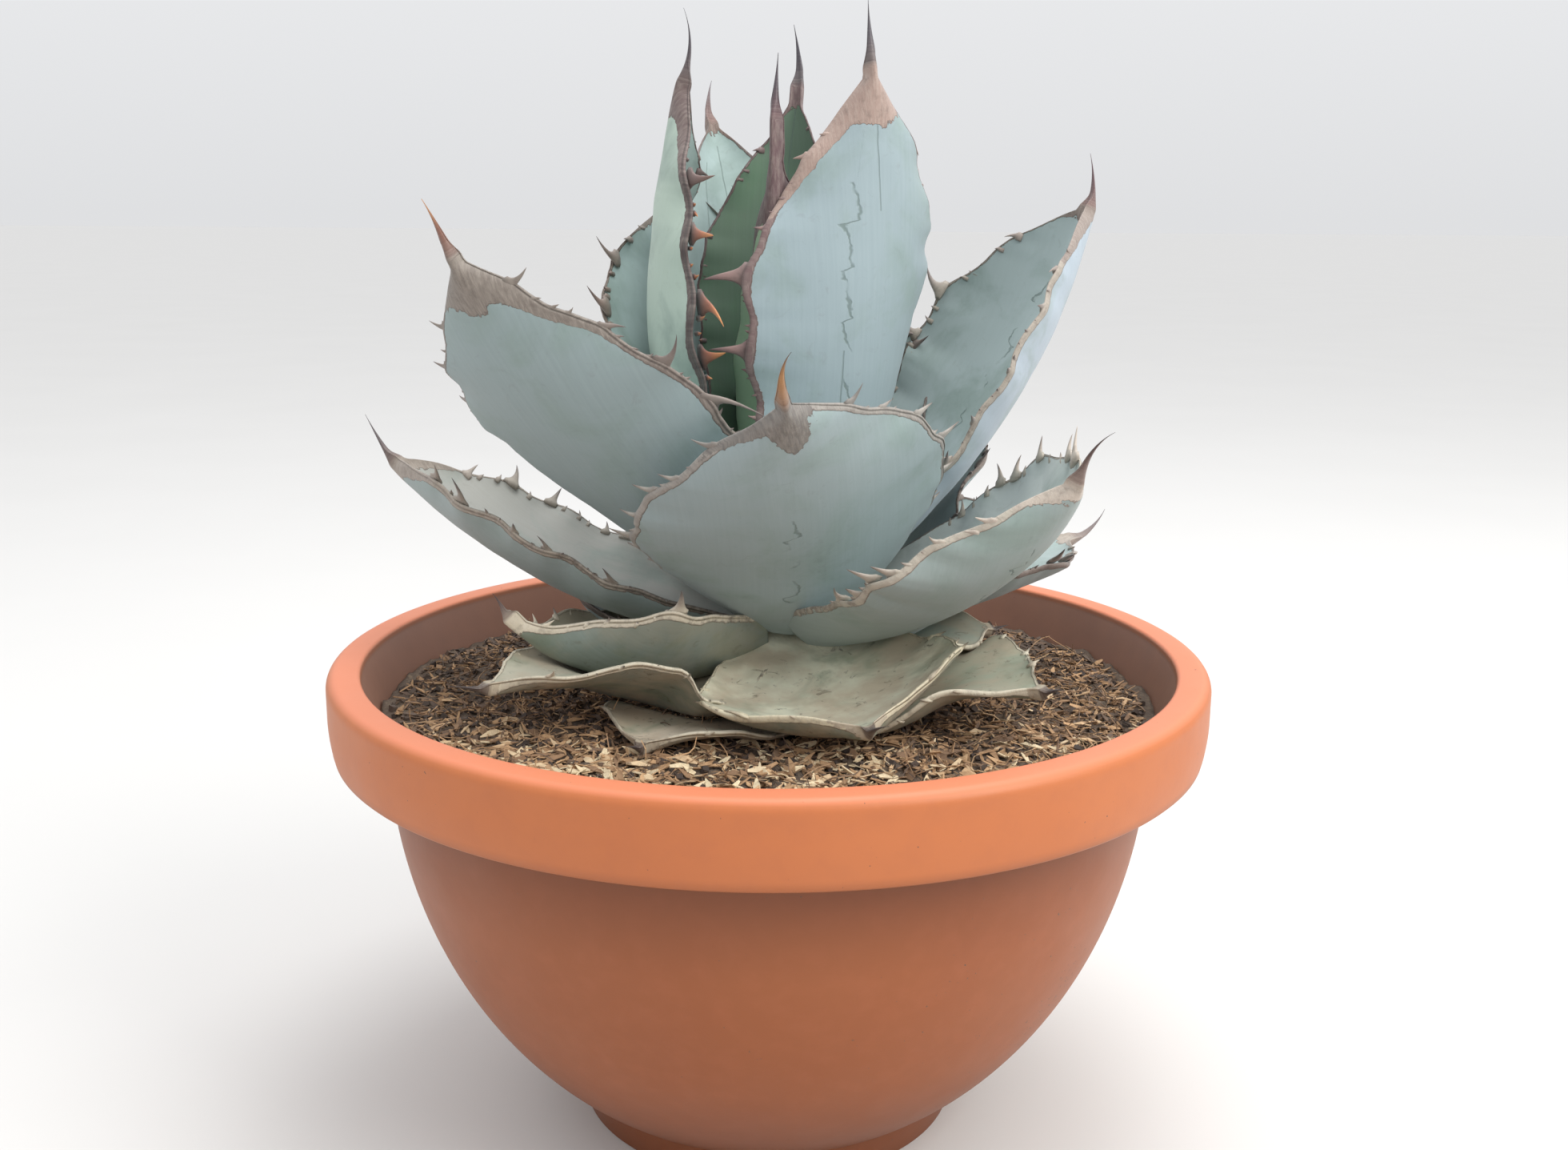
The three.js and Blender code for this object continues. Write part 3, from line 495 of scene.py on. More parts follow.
bar_faces = np.concatenate([[(0, 3, 2, 1), (8, 9, 10, 11)], ring_faces(3, 4)])


def sliver_shade(rng, x, y):
    return float(np.clip(0.62 * rng.random() + 0.5 * paleness_at(x, y), 0, 1))


scatter("bark_slivers", SLIVERS, 23, 6, sliver, [bar_faces], bark, sliver_shade)


def fibre(rng, x, y):
    """A coir fibre: a thin bent thread, most lying down and a few standing up."""
    length = rng.uniform(7, 20)
    thick = rng.uniform(0.14, 0.3)
    steep = 70 if rng.random() < 0.12 else 22
    sway = rng.uniform(-0.25, 0.25) * length
    rows = []
    for place in np.linspace(-0.5, 0.5, 5):
        centre = (place * length, sway * (1 - 4 * place * place), 0.4 * sway * math.sin(5 * place))
        for k in range(3):
            angle = 2 * math.pi * k / 3
            rows.append(
                (centre[0], centre[1] + thick * math.cos(angle), centre[2] + thick * math.sin(angle))
            )
    lift = 0.8 + (0.3 * length if steep > 60 else 0.05 * length)
    return np.array(rows) @ turned_about(rng, steep).T + (0, 0, lift)


def fibre_shade(rng, x, y):
    return 0.25 + 0.6 * rng.random()


thread_ends = np.array([(0, 2, 1), (12, 13, 14)])
scatter("coir_fibres", FIBRES, 31, 12, fibre, [ring_faces(5, 3), thread_ends], bark, fibre_shade)

# Stem
# The plant's short woody stem, with the ring-like scars of fallen leaves. It is hidden by the leaf bases and
# holds every leaf; its foot is rooted in the mix.
STEM_RADIUS = 16
STEM_HEIGHT = 64
STEM_TOP_RADIUS = 4
STEM_SUNK = 45


def corky_stem():
    """Corky stem skin: dull, fibrous, brown-green."""
    material, node, place = new_finish("corky_stem")
    mottle = node("TexNoise", grains(place, 5, 5))
    colour = node("Mix", {0: mottle, 6: linear("#6d6a4e"), 7: linear("#a79c7c")}, data_type="RGBA")
    relief = node("TexNoise", grains(place, 1.5, 5))
    bump = node("Bump", {"Height": relief, "Strength": 0.8, "Distance": 0.001})
    shader = node("BsdfPrincipled", {"Base Color": colour, "Roughness": 0.85, "IOR": 1.45, "Normal": bump})
    node("OutputMaterial", {"Surface": shader})
    return material


stem_base = SOIL_LEVEL - STEM_SUNK
stem_stops = [(stem_base, STEM_RADIUS * 0.6), (stem_base + 10, STEM_RADIUS), (SOIL_LEVEL + 20, STEM_RADIUS)]
stem_stops += [(SOIL_LEVEL + 45, STEM_RADIUS * 0.5), (SOIL_LEVEL + STEM_HEIGHT, STEM_TOP_RADIUS)]
stem_heights = np.linspace(stem_base, SOIL_LEVEL + STEM_HEIGHT, 70)
stem_radii = np.interp(stem_heights, *zip(*stem_stops)) - 0.5 * (1 - np.cos(stem_heights * 1.1)) * 0.5
stem_profile = [(0, stem_base)] + list(zip(stem_radii, stem_heights)) + [(0, SOIL_LEVEL + STEM_HEIGHT)]
stem_points, stem_faces = turned(stem_profile, 40)
stem = make_piece("stem_core", stem_points + (STEM_X, STEM_Y, 0), stem_faces, corky_stem())
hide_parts("stem")

# Leaves
# Thick succulent leaves in a spiral. Each has a hard horny margin with hooked teeth that widens to a cap
# under a long terminal spine. The skin is green under a blue-white wax that rubs off, and it keeps the
# imprint of the margins that were pressed to it in the bud. The oldest leaves lie on the mix and dry up.
DEGREES = math.pi / 180
ALONG_ROWS = 120
SPINE_ROWS = 22
FACE_COLUMNS = 27
CENTRE_STEPS = 200
EDGE_THICKNESS = 1.8
TIP_THINNING = 0.72
SPINE_RADIUS = 2.7
TOOTH_ZONE = (0.3, 0.93)
TOOTH_ROOT = 2.5
TOOTH_SWELL = 0.28
WAVE_SIZE = 0.6
WAVE_RATE = 0.21
ROLL_SIZE = 1.6
ROLL_RATE = 0.17
BAND_SWELL = 0.06
TOOTH_SIDES = 8
TOOTH_RINGS = (-1, 0, 0.06, 0.14, 0.26, 0.42, 0.6, 0.78, 0.92, 1)
BUMP_SIDES = 6
BUMP_RINGS = (-1, 0, 0.3, 0.7, 1)
BUMP_START = 0.3
BUMP_REACH = 0.62
BUMP_PITCH = 6.5
IMPRINT_PITCH = 21
IMPRINT_HOOK = 6
FAR_AWAY = 99.0

# What most leaves share. Angles in degrees, lengths in mm.
# bearing: 0 to the front, 90 to the right. sweep: how far the bearing has turned at the tip.
# rise: slope at the root and the tip. bend: above 1 the curve comes late. root: start from the stem's axis,
# and above the soil. shape: root width against the widest, where that lies, how hollow the tip's outline is.
# cup: channel depth against half the width. twist: roll of the blade. spine: length, curl up, curl left.
# tooth: length, distance apart, hook to the tip. marked: single teeth as (side, place, length, hook).
# skin: colours of the upper face and the back. horn: the cap, then the spine's foot, middle and tip.
# edge: the horny margin, a tooth's body and its tip. cap: how far the horny cap reaches down the blade, at
# the right, in the middle and at the left. shoulder: its reach beside the middle, as a share of that.
# band: width of the horny margin at the right and at the left. dry: how far the skin has dried. warp: how
# uneven the faces are. imprint: (face, place across, from, to) of a bud imprint. creases: (face, place across
# at its start and at its end, from, to), three at most.
COMMON = dict(
    sweep=0, bend=1, shape=(0.5, 0.52, 1.1), cup=(0.4, 0.45), twist=(0, 0), thick=10.5, spine=(32, 0, 0),
    tooth=(6, 12, -0.3), marked=(), wave=0.8, skin=("#9fadac", "#a2b1b3"),
    horn=("#857b74", "#5f524f", "#464048", "#37343a"), edge=("#6f635d", "#7d706a", "#463d40"),
    cap=(24, 18, 24), band=(1.5, 1.5), shoulder=0.8, dry=0, warp=1, imprint=(), creases=(), slot="leaf",
)
OLD = dict(
    slot="old_leaf", skin=("#b6bba8", "#939c8f"), horn=("#b9ad98", "#6b5c50", "#4a4040", "#3a3434"),
    edge=("#cdc5b0", "#a39a88", "#5a504a"), cap=(5, 4, 5), band=(2, 2), dry=0.7, warp=1.8,
)
YOUNG = dict(slot="young_leaf")

LEAVES = {
    "leaf_bud": dict(
        YOUNG, bearing=-17, root=(5, 66), rise=(75, 91), length=193, width=60, thick=10,
        shape=(0.6, 0.35, 1.5), cup=(0.95, 0.95), spine=(28, 10, 0), tooth=(0, 0, 0),
        skin=("#7fa27e", "#9cb594"), horn=("#604a4c", "#5c4044", "#483e46", "#3a363e"),
        edge=("#5f4448", "#5f4448", "#4a3e44"), cap=(26, 50, 76), band=(0.8, 2.4),
    ),
    "leaf_centre_back": dict(
        YOUNG, bearing=184, sweep=-18, root=(8, 62), rise=(76, 77), length=221, width=79,
        shape=(0.5, 0.54, 1.3), cup=(0.45, 0.6), twist=(-5, 14), spine=(32, -10, -20),
        tooth=(3, 40, -0.2), skin=("#546a58", "#6f8a7a"),
        horn=("#6a5556", "#4c4348", "#423e46", "#35323a"), edge=("#5c4a4c", "#8a5648", "#54403f"),
        cap=(16, 10, 16), band=(1.3, 1.3), creases=((1, -0.25, -0.1, 0.45, 0.97),),
    ),
    "leaf_tall_back_left": dict(
        bearing=-158, sweep=2, root=(10, 56), rise=(67, 63), length=227, width=100,
        shape=(0.5, 0.48, 0.85), cup=(0.45, 0.5), twist=(-4, -15), spine=(31, -17, 34),
        tooth=(9, 30, 0.3), skin=("#a3b6b4", "#9fb1b2"), cap=(10, 6, 10),
        horn=("#6f5c54", "#6f5048", "#5c4a4a", "#46404a"), edge=("#6d605e", "#5a4c4e", "#3f393f"),
        creases=((1, 0.0, 0.05, 0.55, 0.95), (1, -0.3, -0.5, 0.62, 0.9), (1, 0.35, 0.2, 0.55, 0.86)),
    ),
    "leaf_tall_right": dict(
        bearing=53, sweep=-15, root=(11, 52), rise=(71, 96), bend=1.1, length=230, width=96,
        shape=(0.5, 0.58, 1), cup=(0.45, 0.35), twist=(-12, 21), spine=(29, 13, -7), tooth=(6, 30, -0.2),
        marked=((1, 0.62, 17, -0.15), (1, 0.48, 14, -0.1)), skin=("#9db0b2", "#8f9fa4"),
        horn=("#9c857b", "#5f5250", "#48434a", "#3c3a40"), edge=("#735c5b", "#8a6c68", "#5a4649"),
        cap=(16, 25, 62), band=(0.6, 2.2), imprint=(-1, 0.28, 0.3, 0.8),
        creases=((-1, -0.02, 0.0, 0.74, 0.9), (-1, 0.42, 0.36, 0.3, 0.5)),
    ),
    "leaf_tall_left": dict(
        bearing=-88, root=(13, 50), rise=(58, 106), bend=1.05, length=232, width=86,
        shape=(0.5, 0.51, 0.8), cup=(0.45, 0.4), twist=(13, 2), spine=(33, -38, 0), tooth=(6, 32, -0.2),
        marked=((-1, 0.6, 18, -0.5), (-1, 0.5, 16, 0.1), (-1, 0.73, 14, 0), (-1, 0.83, 14, 0.2)),
        skin=("#9fb2b0", "#aec0b2"), horn=("#5f4e4c", "#5a4a48", "#464048", "#3a383e"),
        edge=("#4c3f3e", "#9a5636", "#d08a4c"), cap=(40, 14, 10), band=(1.5, 0.7),
    ),
    "leaf_upper_back_left": dict(
        bearing=-135, sweep=-32, root=(11, 55), rise=(62, 70), length=192, width=117,
        shape=(0.35, 0.54, 0.93), cup=(0.5, 0.5), twist=(-8, 16), spine=(26, -8, 13), tooth=(8, 30, 0.2),
        marked=((-1, 0.8, 12, 0.7), (-1, 0.66, 14, 0.5), (-1, 0.5, 13, -0.5)),
        skin=("#9fb2b0", "#92a5a4"), edge=("#76695f", "#8a7068", "#54403f"),
    ),
    "leaf_upper_right": dict(
        bearing=104, sweep=-3, root=(11, 50), rise=(41, 72), bend=1.45, length=217, width=111,
        shape=(0.5, 0.56, 0.8), cup=(0.15, 0.65), twist=(3, -9), spine=(26, 15, -30), tooth=(7, 26, -0.3),
        marked=((-1, 0.72, 14, 0.6), (-1, 0.6, 9, 0.4), (1, 0.36, 10, 0.3)), skin=("#a6b5b5", "#a3b0bb"),
        horn=("#8a7d76", "#7a605c", "#62484c", "#5f4a52"), edge=("#9a9186", "#857b75", "#544646"),
        cap=(8, 6, 30), band=(0.9, 1.8), imprint=(1, -0.2, 0.3, 0.85),
    ),
    "leaf_upper_back": dict(
        bearing=166, root=(13, 45), rise=(50, 68), length=186, width=100, tooth=(8, 28, 0.2),
    ),
    "leaf_upper_left": dict(
        bearing=-55, sweep=2, root=(12, 49), rise=(33, 62), bend=1.3, length=217, width=131,
        shape=(0.5, 0.47, 1), cup=(0.3, 0.1), twist=(1, -32), spine=(25, -6, 3), tooth=(8, 20, -0.1),
        marked=(
            (-1, 0.92, 8, 0.4), (-1, 0.67, 13, 0.7), (-1, 0.56, 14, -1.5), (1, 0.87, 8, 0.5),
            (1, 0.79, 8, 0.4), (1, 0.69, 8, 0.2), (1, 0.53, 8, -0.2),
        ),
        skin=("#95a8a8", "#8b9b9c"), horn=("#786f67", "#6e5850", "#80584a", "#c08a5c"),
        edge=("#70655e", "#7f736c", "#544846"), cap=(58, 24, 22), band=(1.8, 0.9),
    ),
    "leaf_front": dict(
        bearing=3, sweep=-17, root=(15, 42), rise=(38, 46), length=163, width=130,
        shape=(0.45, 0.49, 1.05), cup=(0.2, 0.3), twist=(-6, -27), spine=(36, -28, -22),
        tooth=(10, 17, 0.1), skin=("#9fb0b0", "#909fa1"),
        horn=("#6f6b67", "#7d6250", "#a87a4e", "#4a3830"), edge=("#8a857f", "#9b958d", "#665a54"),
        cap=(9, 25, 26), shoulder=0.45, band=(2.0, 2.0), imprint=(-1, 0.05, 0.22, 0.6),
    ),
    # Painted light: its upper face's skin colour is paler than the skin, where that face lies in shade.
    "leaf_middle_right": dict(
        bearing=56, sweep=-45, root=(16, 36), rise=(14, 54), bend=1.5, length=169, width=115,
        shape=(0.5, 0.57, 0.85), cup=(0.4, 0.5), twist=(-4, -30), spine=(36, -33, 0), tooth=(9, 19, 0.2),
        marked=((-1, 0.88, 12, 0.5), (-1, 0.8, 9, 0.4)), skin=("#c8d0cc", "#8f9d9b"),
        horn=("#b8ada1", "#8a7870", "#5a4a48", "#43383a"), edge=("#aaa396", "#a1968b", "#5c504b"),
        cap=(10, 8, 12), band=(1.0, 1.4), imprint=(-1, 0.2, 0.3, 0.85),
    ),
    "leaf_middle_back_right": dict(
        bearing=137, root=(15, 33), rise=(34, 50), length=166, width=104, tooth=(8, 24, 0.2),
    ),
    "leaf_middle_left": dict(
        bearing=-92, sweep=-12, root=(17, 34), rise=(9, 44), bend=1.5, length=186, width=99,
        shape=(0.5, 0.52, 0.7), cup=(0.2, 0.45), twist=(0, -8), spine=(28, 8, 17), tooth=(10, 22, 0.3),
        skin=("#a09f98", "#93a1a0"), horn=("#94897f", "#6c5a54", "#4f4446", "#393236"),
        edge=("#958c80", "#8a8076", "#4a4043"), cap=(26, 10, 22), band=(1.5, 1.1),
    ),
    "leaf_middle_back": dict(
        bearing=-165, root=(16, 31), rise=(28, 48), length=168, width=108, tooth=(8, 25, 0.2),
    ),
    # Painted light: its upper face's skin colour is paler than the skin, where the rosette shades it.
    "leaf_lower_left": dict(
        OLD, bearing=-66, sweep=8, root=(18, 28), rise=(-14, 49), bend=1.5, length=125, width=84,
        shape=(0.5, 0.51, 1.5), cup=(0.55, 0.5), twist=(-10, -11), spine=(13, 0, 0), tooth=(4, 18, 0.2),
        marked=((-1, 0.46, 13, 0.2),), skin=("#b6ae9a", "#7d8880"),
        horn=("#d0c6b2", "#94877a", "#6b5c58", "#4a4044"), edge=("#cfc5b2", "#9a8f84", "#4a4044"),
        cap=(18, 10, 18), band=(2.6, 2.6), dry=0.25,
    ),
    # Painted light: its upper face's skin colour is paler than the skin, where the leaves above shade it.
    "leaf_low_front": dict(
        OLD, bearing=15, sweep=-4, root=(12, 33), rise=(-30, 18), length=117, width=112,
        shape=(0.5, 0.59, 0.95), cup=(0.1, 0.4), twist=(-10, -10), spine=(18, -5, -28),
        tooth=(5, 18, 0.2), marked=((1, 0.78, 9, 0.4),), thick=10, skin=("#d4d3bd", "#6f7a6c"),
        edge=("#d2c9ae", "#a89e88", "#52473f"), band=(2.2, 2.0),
    ),
    "leaf_lower_right": dict(
        bearing=114, sweep=11, root=(19, 20), rise=(23, 8), length=147, width=105,
        shape=(0.5, 0.53, 1.15), cup=(0.5, 0.4), twist=(7, -19), spine=(35, 10, -31),
        tooth=(10, 17, -0.5), thick=11, horn=("#a1978d", "#8a7c74", "#6b5e5c", "#4a4246"),
        cap=(18, 10, 18), band=(1.5, 1.5),
    ),
    "leaf_small_right": dict(
        OLD, bearing=99, sweep=8, root=(16, 22), rise=(10, -4), length=82, width=78,
        shape=(0.35, 0.52, 1.15), cup=(0.25, 0.1), twist=(5, -15), spine=(10, 3, -11), tooth=(4, 18, 0),
        thick=7, dry=0.5, skin=("#8b9689", "#7c877d"),
    ),
    "leaf_lower_back": dict(
        bearing=180, root=(18, 20), rise=(14, 30), length=150, width=102, tooth=(8, 24, 0.1), thick=11,
    ),
    "leaf_lower_back_left": dict(
        bearing=-118, root=(18, 18), rise=(17, 5), length=120, width=86, shape=(0.35, 0.5, 1.15),
        cup=(0.3, 0.5), twist=(-4, -7), spine=(14, 0, 0), tooth=(6, 22, 0), thick=9,
    ),
    "leaf_low_right": dict(
        OLD, bearing=50, sweep=-4, root=(20, 12), rise=(8, 8), length=118, width=101,
        shape=(0.35, 0.5, 1.2), cup=(0.15, 0.15), twist=(0, -3), spine=(12, 0, 5), tooth=(4, 20, 0.2),
        thick=7, skin=("#a3a893", "#75806f"),
    ),
    "leaf_low_left": dict(
        OLD, bearing=-55, sweep=6, root=(20, 13), rise=(11, 3), length=137, width=95,
        shape=(0.35, 0.5, 1.1), cup=(0.2, 0.2), twist=(-2, -6), spine=(19, 8, -5), tooth=(4, 20, 0.1),
        thick=8, skin=("#b8b4a2", "#7c8072"),
    ),
    "leaf_low_back_right": dict(
        OLD, bearing=152, root=(20, 13), rise=(7, 5), length=126, width=98, shape=(0.35, 0.52, 1.1),
        cup=(0.2, 0.25), spine=(18, 6, 0), tooth=(5, 22, 0.1), thick=8,
    ),
    "leaf_low_back_left": dict(
        OLD, bearing=-152, root=(20, 12), rise=(7, 4), length=130, width=100, shape=(0.35, 0.52, 1.1),
        cup=(0.2, 0.25), spine=(18, 6, 0), tooth=(5, 22, 0.1), thick=8,
    ),
    "leaf_low_front_left": dict(
        OLD, bearing=-32, root=(22, 5), rise=(2, 0), length=95, width=84, shape=(0.35, 0.6, 0.8),
        cup=(0.1, 0.15), twist=(-1, -5), spine=(10, 10, 0), tooth=(3, 22, 0), thick=5, dry=0.9,
        skin=("#cbbfab", "#857f70"),
    ),
}


def between(pair, t):
    return pair[0] + (pair[1] - pair[0]) * t


def draw(seed, number):
    """A repeatable draw between 0 and 1 from a leaf's seed and a running number."""
    value = math.sin(seed * 12.9898 + number * 78.233) * 43758.5453
    return value - math.floor(value)


def column(values):
    return np.asarray(values)[..., None]


def frame_at(leaf, t):
    """Directions of a blade at t: along it, across to its left margin, and out of its upper face."""
    t = np.asarray(t, float)
    rise = between(leaf["rise"], t ** leaf["bend"]) * DEGREES
    bearing = (leaf["bearing"] + leaf["sweep"] * t * t) * DEGREES
    outward = np.stack([np.sin(bearing), -np.cos(bearing), 0 * t], -1)
    up_z = np.array([0.0, 0, 1])
    along = outward * column(np.cos(rise)) + up_z * column(np.sin(rise))
    level = up_z * column(np.cos(rise)) - outward * column(np.sin(rise))
    side = np.cross(along, level)
    twist = column(between(leaf["twist"], t) * DEGREES)
    return along, side * np.cos(twist) + level * np.sin(twist), level * np.cos(twist) - side * np.sin(twist)


def centre_line(leaf):
    start = leaf["bearing"] * DEGREES
    reach, rise = leaf["root"]
    base = (STEM_X + reach * math.sin(start), STEM_Y - reach * math.cos(start), SOIL_LEVEL + rise)
    steps = frame_at(leaf, (np.arange(CENTRE_STEPS) + 0.5) / CENTRE_STEPS)[0] * leaf["length"] / CENTRE_STEPS
    return np.concatenate([[base], base + np.cumsum(steps, 0)])


def point_on(line, t):
    places = np.linspace(0, 1, len(line))
    return np.stack([np.interp(t, places, line[:, axis]) for axis in range(3)], -1)


def half_width(leaf, t):
    root_share, widest, hollow = leaf["shape"]
    swell = root_share + (1 - root_share) * np.sin(math.pi / 2 * np.minimum(t / widest, 1))
    taper = np.cos(math.pi / 2 * np.clip((t - widest) / (1 - widest), 0, 1)) ** hollow
    return np.maximum(leaf["width"] / 2 * np.where(t < widest, swell, taper), SPINE_RADIUS)


def margin_teeth(leaf, side):
    """A seeded row of usual teeth along one margin, which leaves room for the marked ones."""
    teeth = [tooth[1:] for tooth in leaf["marked"] if tooth[0] == side]
    marked = [tooth[0] for tooth in teeth]
    usual, pitch, hook = leaf["tooth"]
    if usual == 0:
        return teeth
    zone = TOOTH_ZONE[1] - TOOTH_ZONE[0]
    count = math.floor(zone * leaf["length"] / pitch + 0.5)
    for number in range(count):
        key = number * 3 + (0 if side > 0 else 200)
        t = TOOTH_ZONE[0] + zone * (number + 0.2 + 0.6 * draw(leaf["seed"], key)) / count
        length = usual * (0.6 + 0.7 * draw(leaf["seed"], key + 1))
        lean = hook + 0.8 * (draw(leaf["seed"], key + 2) - 0.5)
        if all(abs(place - t) * leaf["length"] > 0.7 * pitch for place in marked):
            teeth.append((t, length, lean))
    return teeth


def tooth_hill(leaf, teeth, t, spread):
    """How near t is to the teeth: each one's length, fading over spread times that length."""
    total = 0 * t
    for place, length, _ in teeth:
        total = total + length * np.exp(-(((t - place) * leaf["length"] / (spread * length)) ** 2))
    return total


def margin_swell(leaf, teeth, side, t):
    swell = WAVE_SIZE * leaf["wave"] * np.sin(t * leaf["length"] * WAVE_RATE + leaf["seed"] + side)
    swell = swell + TOOTH_SWELL * tooth_hill(leaf, teeth, t, 0.9)
    strip = np.stack([t * leaf["length"], 0 * t + 40 * leaf["seed"], 0 * t + 9 * side], -1)
    swell = swell + 0.5 * leaf["wave"] * lumps(strip, 5) + 0.3 * leaf["wave"] * lumps(strip, 2.4)
    return swell * smooth_step(0.1, 0.3, t) * (1 - smooth_step(0.88, 1, t))


def margin_roll(leaf, side, t):
    roll = leaf["wave"] * ROLL_SIZE * np.sin(t * leaf["length"] * ROLL_RATE + 2 * leaf["seed"] + 1.3 * side)
    return roll * smooth_step(0.15, 0.4, t) * (1 - smooth_step(0.85, 1, t))


def mixed_tone(stops, place):
    """Colours along a row of hex colours at the given places from 0 to 1."""
    table = np.array([linear(code) for code in stops])
    spots = np.linspace(0, 1, len(stops))
    return np.stack([np.interp(place, spots, table[:, channel]) for channel in range(4)], -1)


def pressed(leaf, t, u):
    """How far the younger leaves hold the blade back from its upper face, at a place along and across it."""
    push = leaf.get("push", np.zeros((2, 2)))
    last_row, last_column = push.shape[0] - 1, push.shape[1] - 1
    row, place = np.broadcast_arrays(t * last_row, (np.arcsin(u) / math.pi + 0.5) * last_column)
    low, side = np.minimum(row.astype(int), last_row - 1), np.minimum(place.astype(int), last_column - 1)
    down, over = row - low, place - side
    near = push[low, side] * (1 - over) + push[low, side + 1] * over
    far = push[low + 1, side] * (1 - over) + push[low + 1, side + 1] * over
    return near * (1 - down) + far * down


def blade(leaf, rows, columns):
    """One leaf's blade as rings of points, with the values that its finish reads at each point."""
    line, teeth = centre_line(leaf), {side: margin_teeth(leaf, side) for side in (-1, 1)}
    t = np.linspace(0, 1, rows)
    along, across, face = (part[:, None, :] for part in frame_at(leaf, t))
    half = column(half_width(leaf, t))
    u = np.sin(math.pi / 2 * np.linspace(-1, 1, columns))[None, :]
    left = u > 0
    swells = {side: column(margin_swell(leaf, teeth[side], side, t)) for side in (-1, 1)}
    swell = np.where(left, swells[1], swells[-1])
    roll = np.where(left, column(margin_roll(leaf, 1, t)), column(margin_roll(leaf, -1, t)))
    depth = column(between(leaf["cup"], t)) * half
    run_out = column(smooth_step(0.85, 1, t))
    body = leaf["thick"] * (1 - TIP_THINNING * column(smooth_step(0, 1, t)))
    body = body * (1 - run_out) + 1.7 * SPINE_RADIUS * run_out
    edge = EDGE_THICKNESS * (1 - 0.4 * run_out)
    margin = (1 - np.abs(u)) * half
    lip = 0.3 * np.exp(-((margin / 1.5) ** 2)) * (1 - run_out)
    out = u * half + u**3 * swell
    rise = depth * u**2 + u**4 * roll - pressed(leaf, column(t), u)
    upper = point_on(line, t)[:, None, :] + across * column(out) + face * column(rise)
    warp = leaf["warp"] * (0.55 * lumps(upper, 30) + 0.18 * lumps(upper, 9)) * (1 - run_out)
    back = upper - face * column(edge + body * (1 - u**2) ** 0.7 + lip - warp)
    upper = upper + face * column(warp + lip)
    # Rounded margins: three points across the edge on each side.
    tilt = np.arctan2(2 * depth[:, 0], half[:, 0])
    rounds = {}
    for side, at in ((1, -1), (-1, 0)):
        top, bottom = upper[:, at], back[:, at]
        outward = across[:, 0] * column(side * np.cos(tilt)) + face[:, 0] * column(np.sin(tilt))
        angles = np.radians([50, 0, -50]) * side
        centre, rise = (top + bottom) / 2, (top - bottom) / 2
        bulge = outward * column(np.linalg.norm(top - bottom, axis=-1)) / 2
        arc = [centre + bulge * math.cos(a) + rise * math.sin(a) * side for a in angles]
        rounds[side] = np.stack(arc, 1)
    loops = np.concatenate([upper, rounds[1], back[:, ::-1], rounds[-1]], 1)

    def round_blade(values):
        """Values across the upper face, carried round the margins and back."""
        at_left, at_right = np.repeat(values[:, -1:], 3, 1), np.repeat(values[:, :1], 3, 1)
        return np.concatenate([values, at_left, values[:, ::-1], at_right], 1)

    # What the finish reads: face, place across, mm from the middle, and how deep in horn a point lies.
    reach = np.cumsum(np.linalg.norm(np.diff(upper, axis=1, prepend=upper[:, :1]), axis=-1), 1)
    from_margin = np.minimum(reach, reach[:, -1:] - reach)
    wide = np.broadcast_to(u, (rows, columns))
    growth = 0.22 + 0.62 * t * t
    bands = []
    for side, width in zip((-1, 1), leaf["band"]):
        bands.append(column(width * growth + BAND_SWELL * tooth_hill(leaf, teeth[side], t, 0.5)))
    sides = np.where(wide > 0, leaf["cap"][2], leaf["cap"][0])
    middle = leaf["cap"][1]
    shoulder = middle * leaf["shoulder"]
    cap = shoulder + (middle - shoulder) * np.exp(-((wide / 0.35) ** 2))
    cap = cap + (sides - shoulder) * np.abs(wide) ** 5
    ones = np.ones((rows, columns))
    faces = np.concatenate([ones, 0 * ones[:, :3], -ones, 0 * ones[:, :3]], 1)
    return dict(
        line=line, teeth=teeth, loops=loops, face=faces, place=round_blade(wide),
        along=np.broadcast_to(column(t), faces.shape), across=round_blade(reach - reach[:, [columns // 2]]),
        cap=round_blade(cap - column((1 - t) * leaf["length"])),
        band=round_blade(np.where(left, bands[1], bands[0]) - from_margin),
    )


def spine_loops(leaf, form):
    """Rings of the terminal spine: it leaves the blade's last ring, curls and narrows to its point."""
    length, curl_up, curl_left = leaf["spine"]
    along, across, face = frame_at(leaf, 1.0)
    end = form["line"][-1]
    last = form["loops"][-1] - end
    flat_x, flat_y = last @ across, last @ face
    columns = FACE_COLUMNS
    u = np.sin(math.pi / 2 * np.linspace(-1, 1, columns))
    bulge = np.sqrt(np.maximum(1 - u * u, 0.04))
    round_x = np.concatenate([u, [1.05, 1.08, 1.05], u[::-1], [-1.05, -1.08, -1.05]])
    groove = 0.3 * np.exp(-((u / 0.3) ** 2))
    loops = []
    centre = end.copy()
    for row in range(1, SPINE_ROWS + 1):
        s, middle = row / SPINE_ROWS, (row - 0.5) / SPINE_ROWS
        a, b = curl_up * middle * DEGREES, curl_left * middle * DEGREES
        ahead, aside = along * math.cos(a) * math.cos(b), across * math.sin(b) * math.cos(a)
        heading = ahead + face * math.sin(a) + aside
        centre = centre + heading * length / SPINE_ROWS
        radius = SPINE_RADIUS * (1 - s) ** 1.65 + 0.12
        share = float(smooth_step(0, 0.34, s))
        top = 0.45 * bulge - groove * (1 - s)
        round_y = np.concatenate([top, [0.08, -0.15, -0.38], -bulge[::-1], [-0.38, -0.15, 0.08]]) - 0.9
        x = flat_x * radius / SPINE_RADIUS * (1 - share) + round_x * radius * share
        y = flat_y * radius / SPINE_RADIUS * (1 - share) + round_y * radius * share
        loops.append(centre + column(x) * across + column(y) * face)
    return np.array(loops)


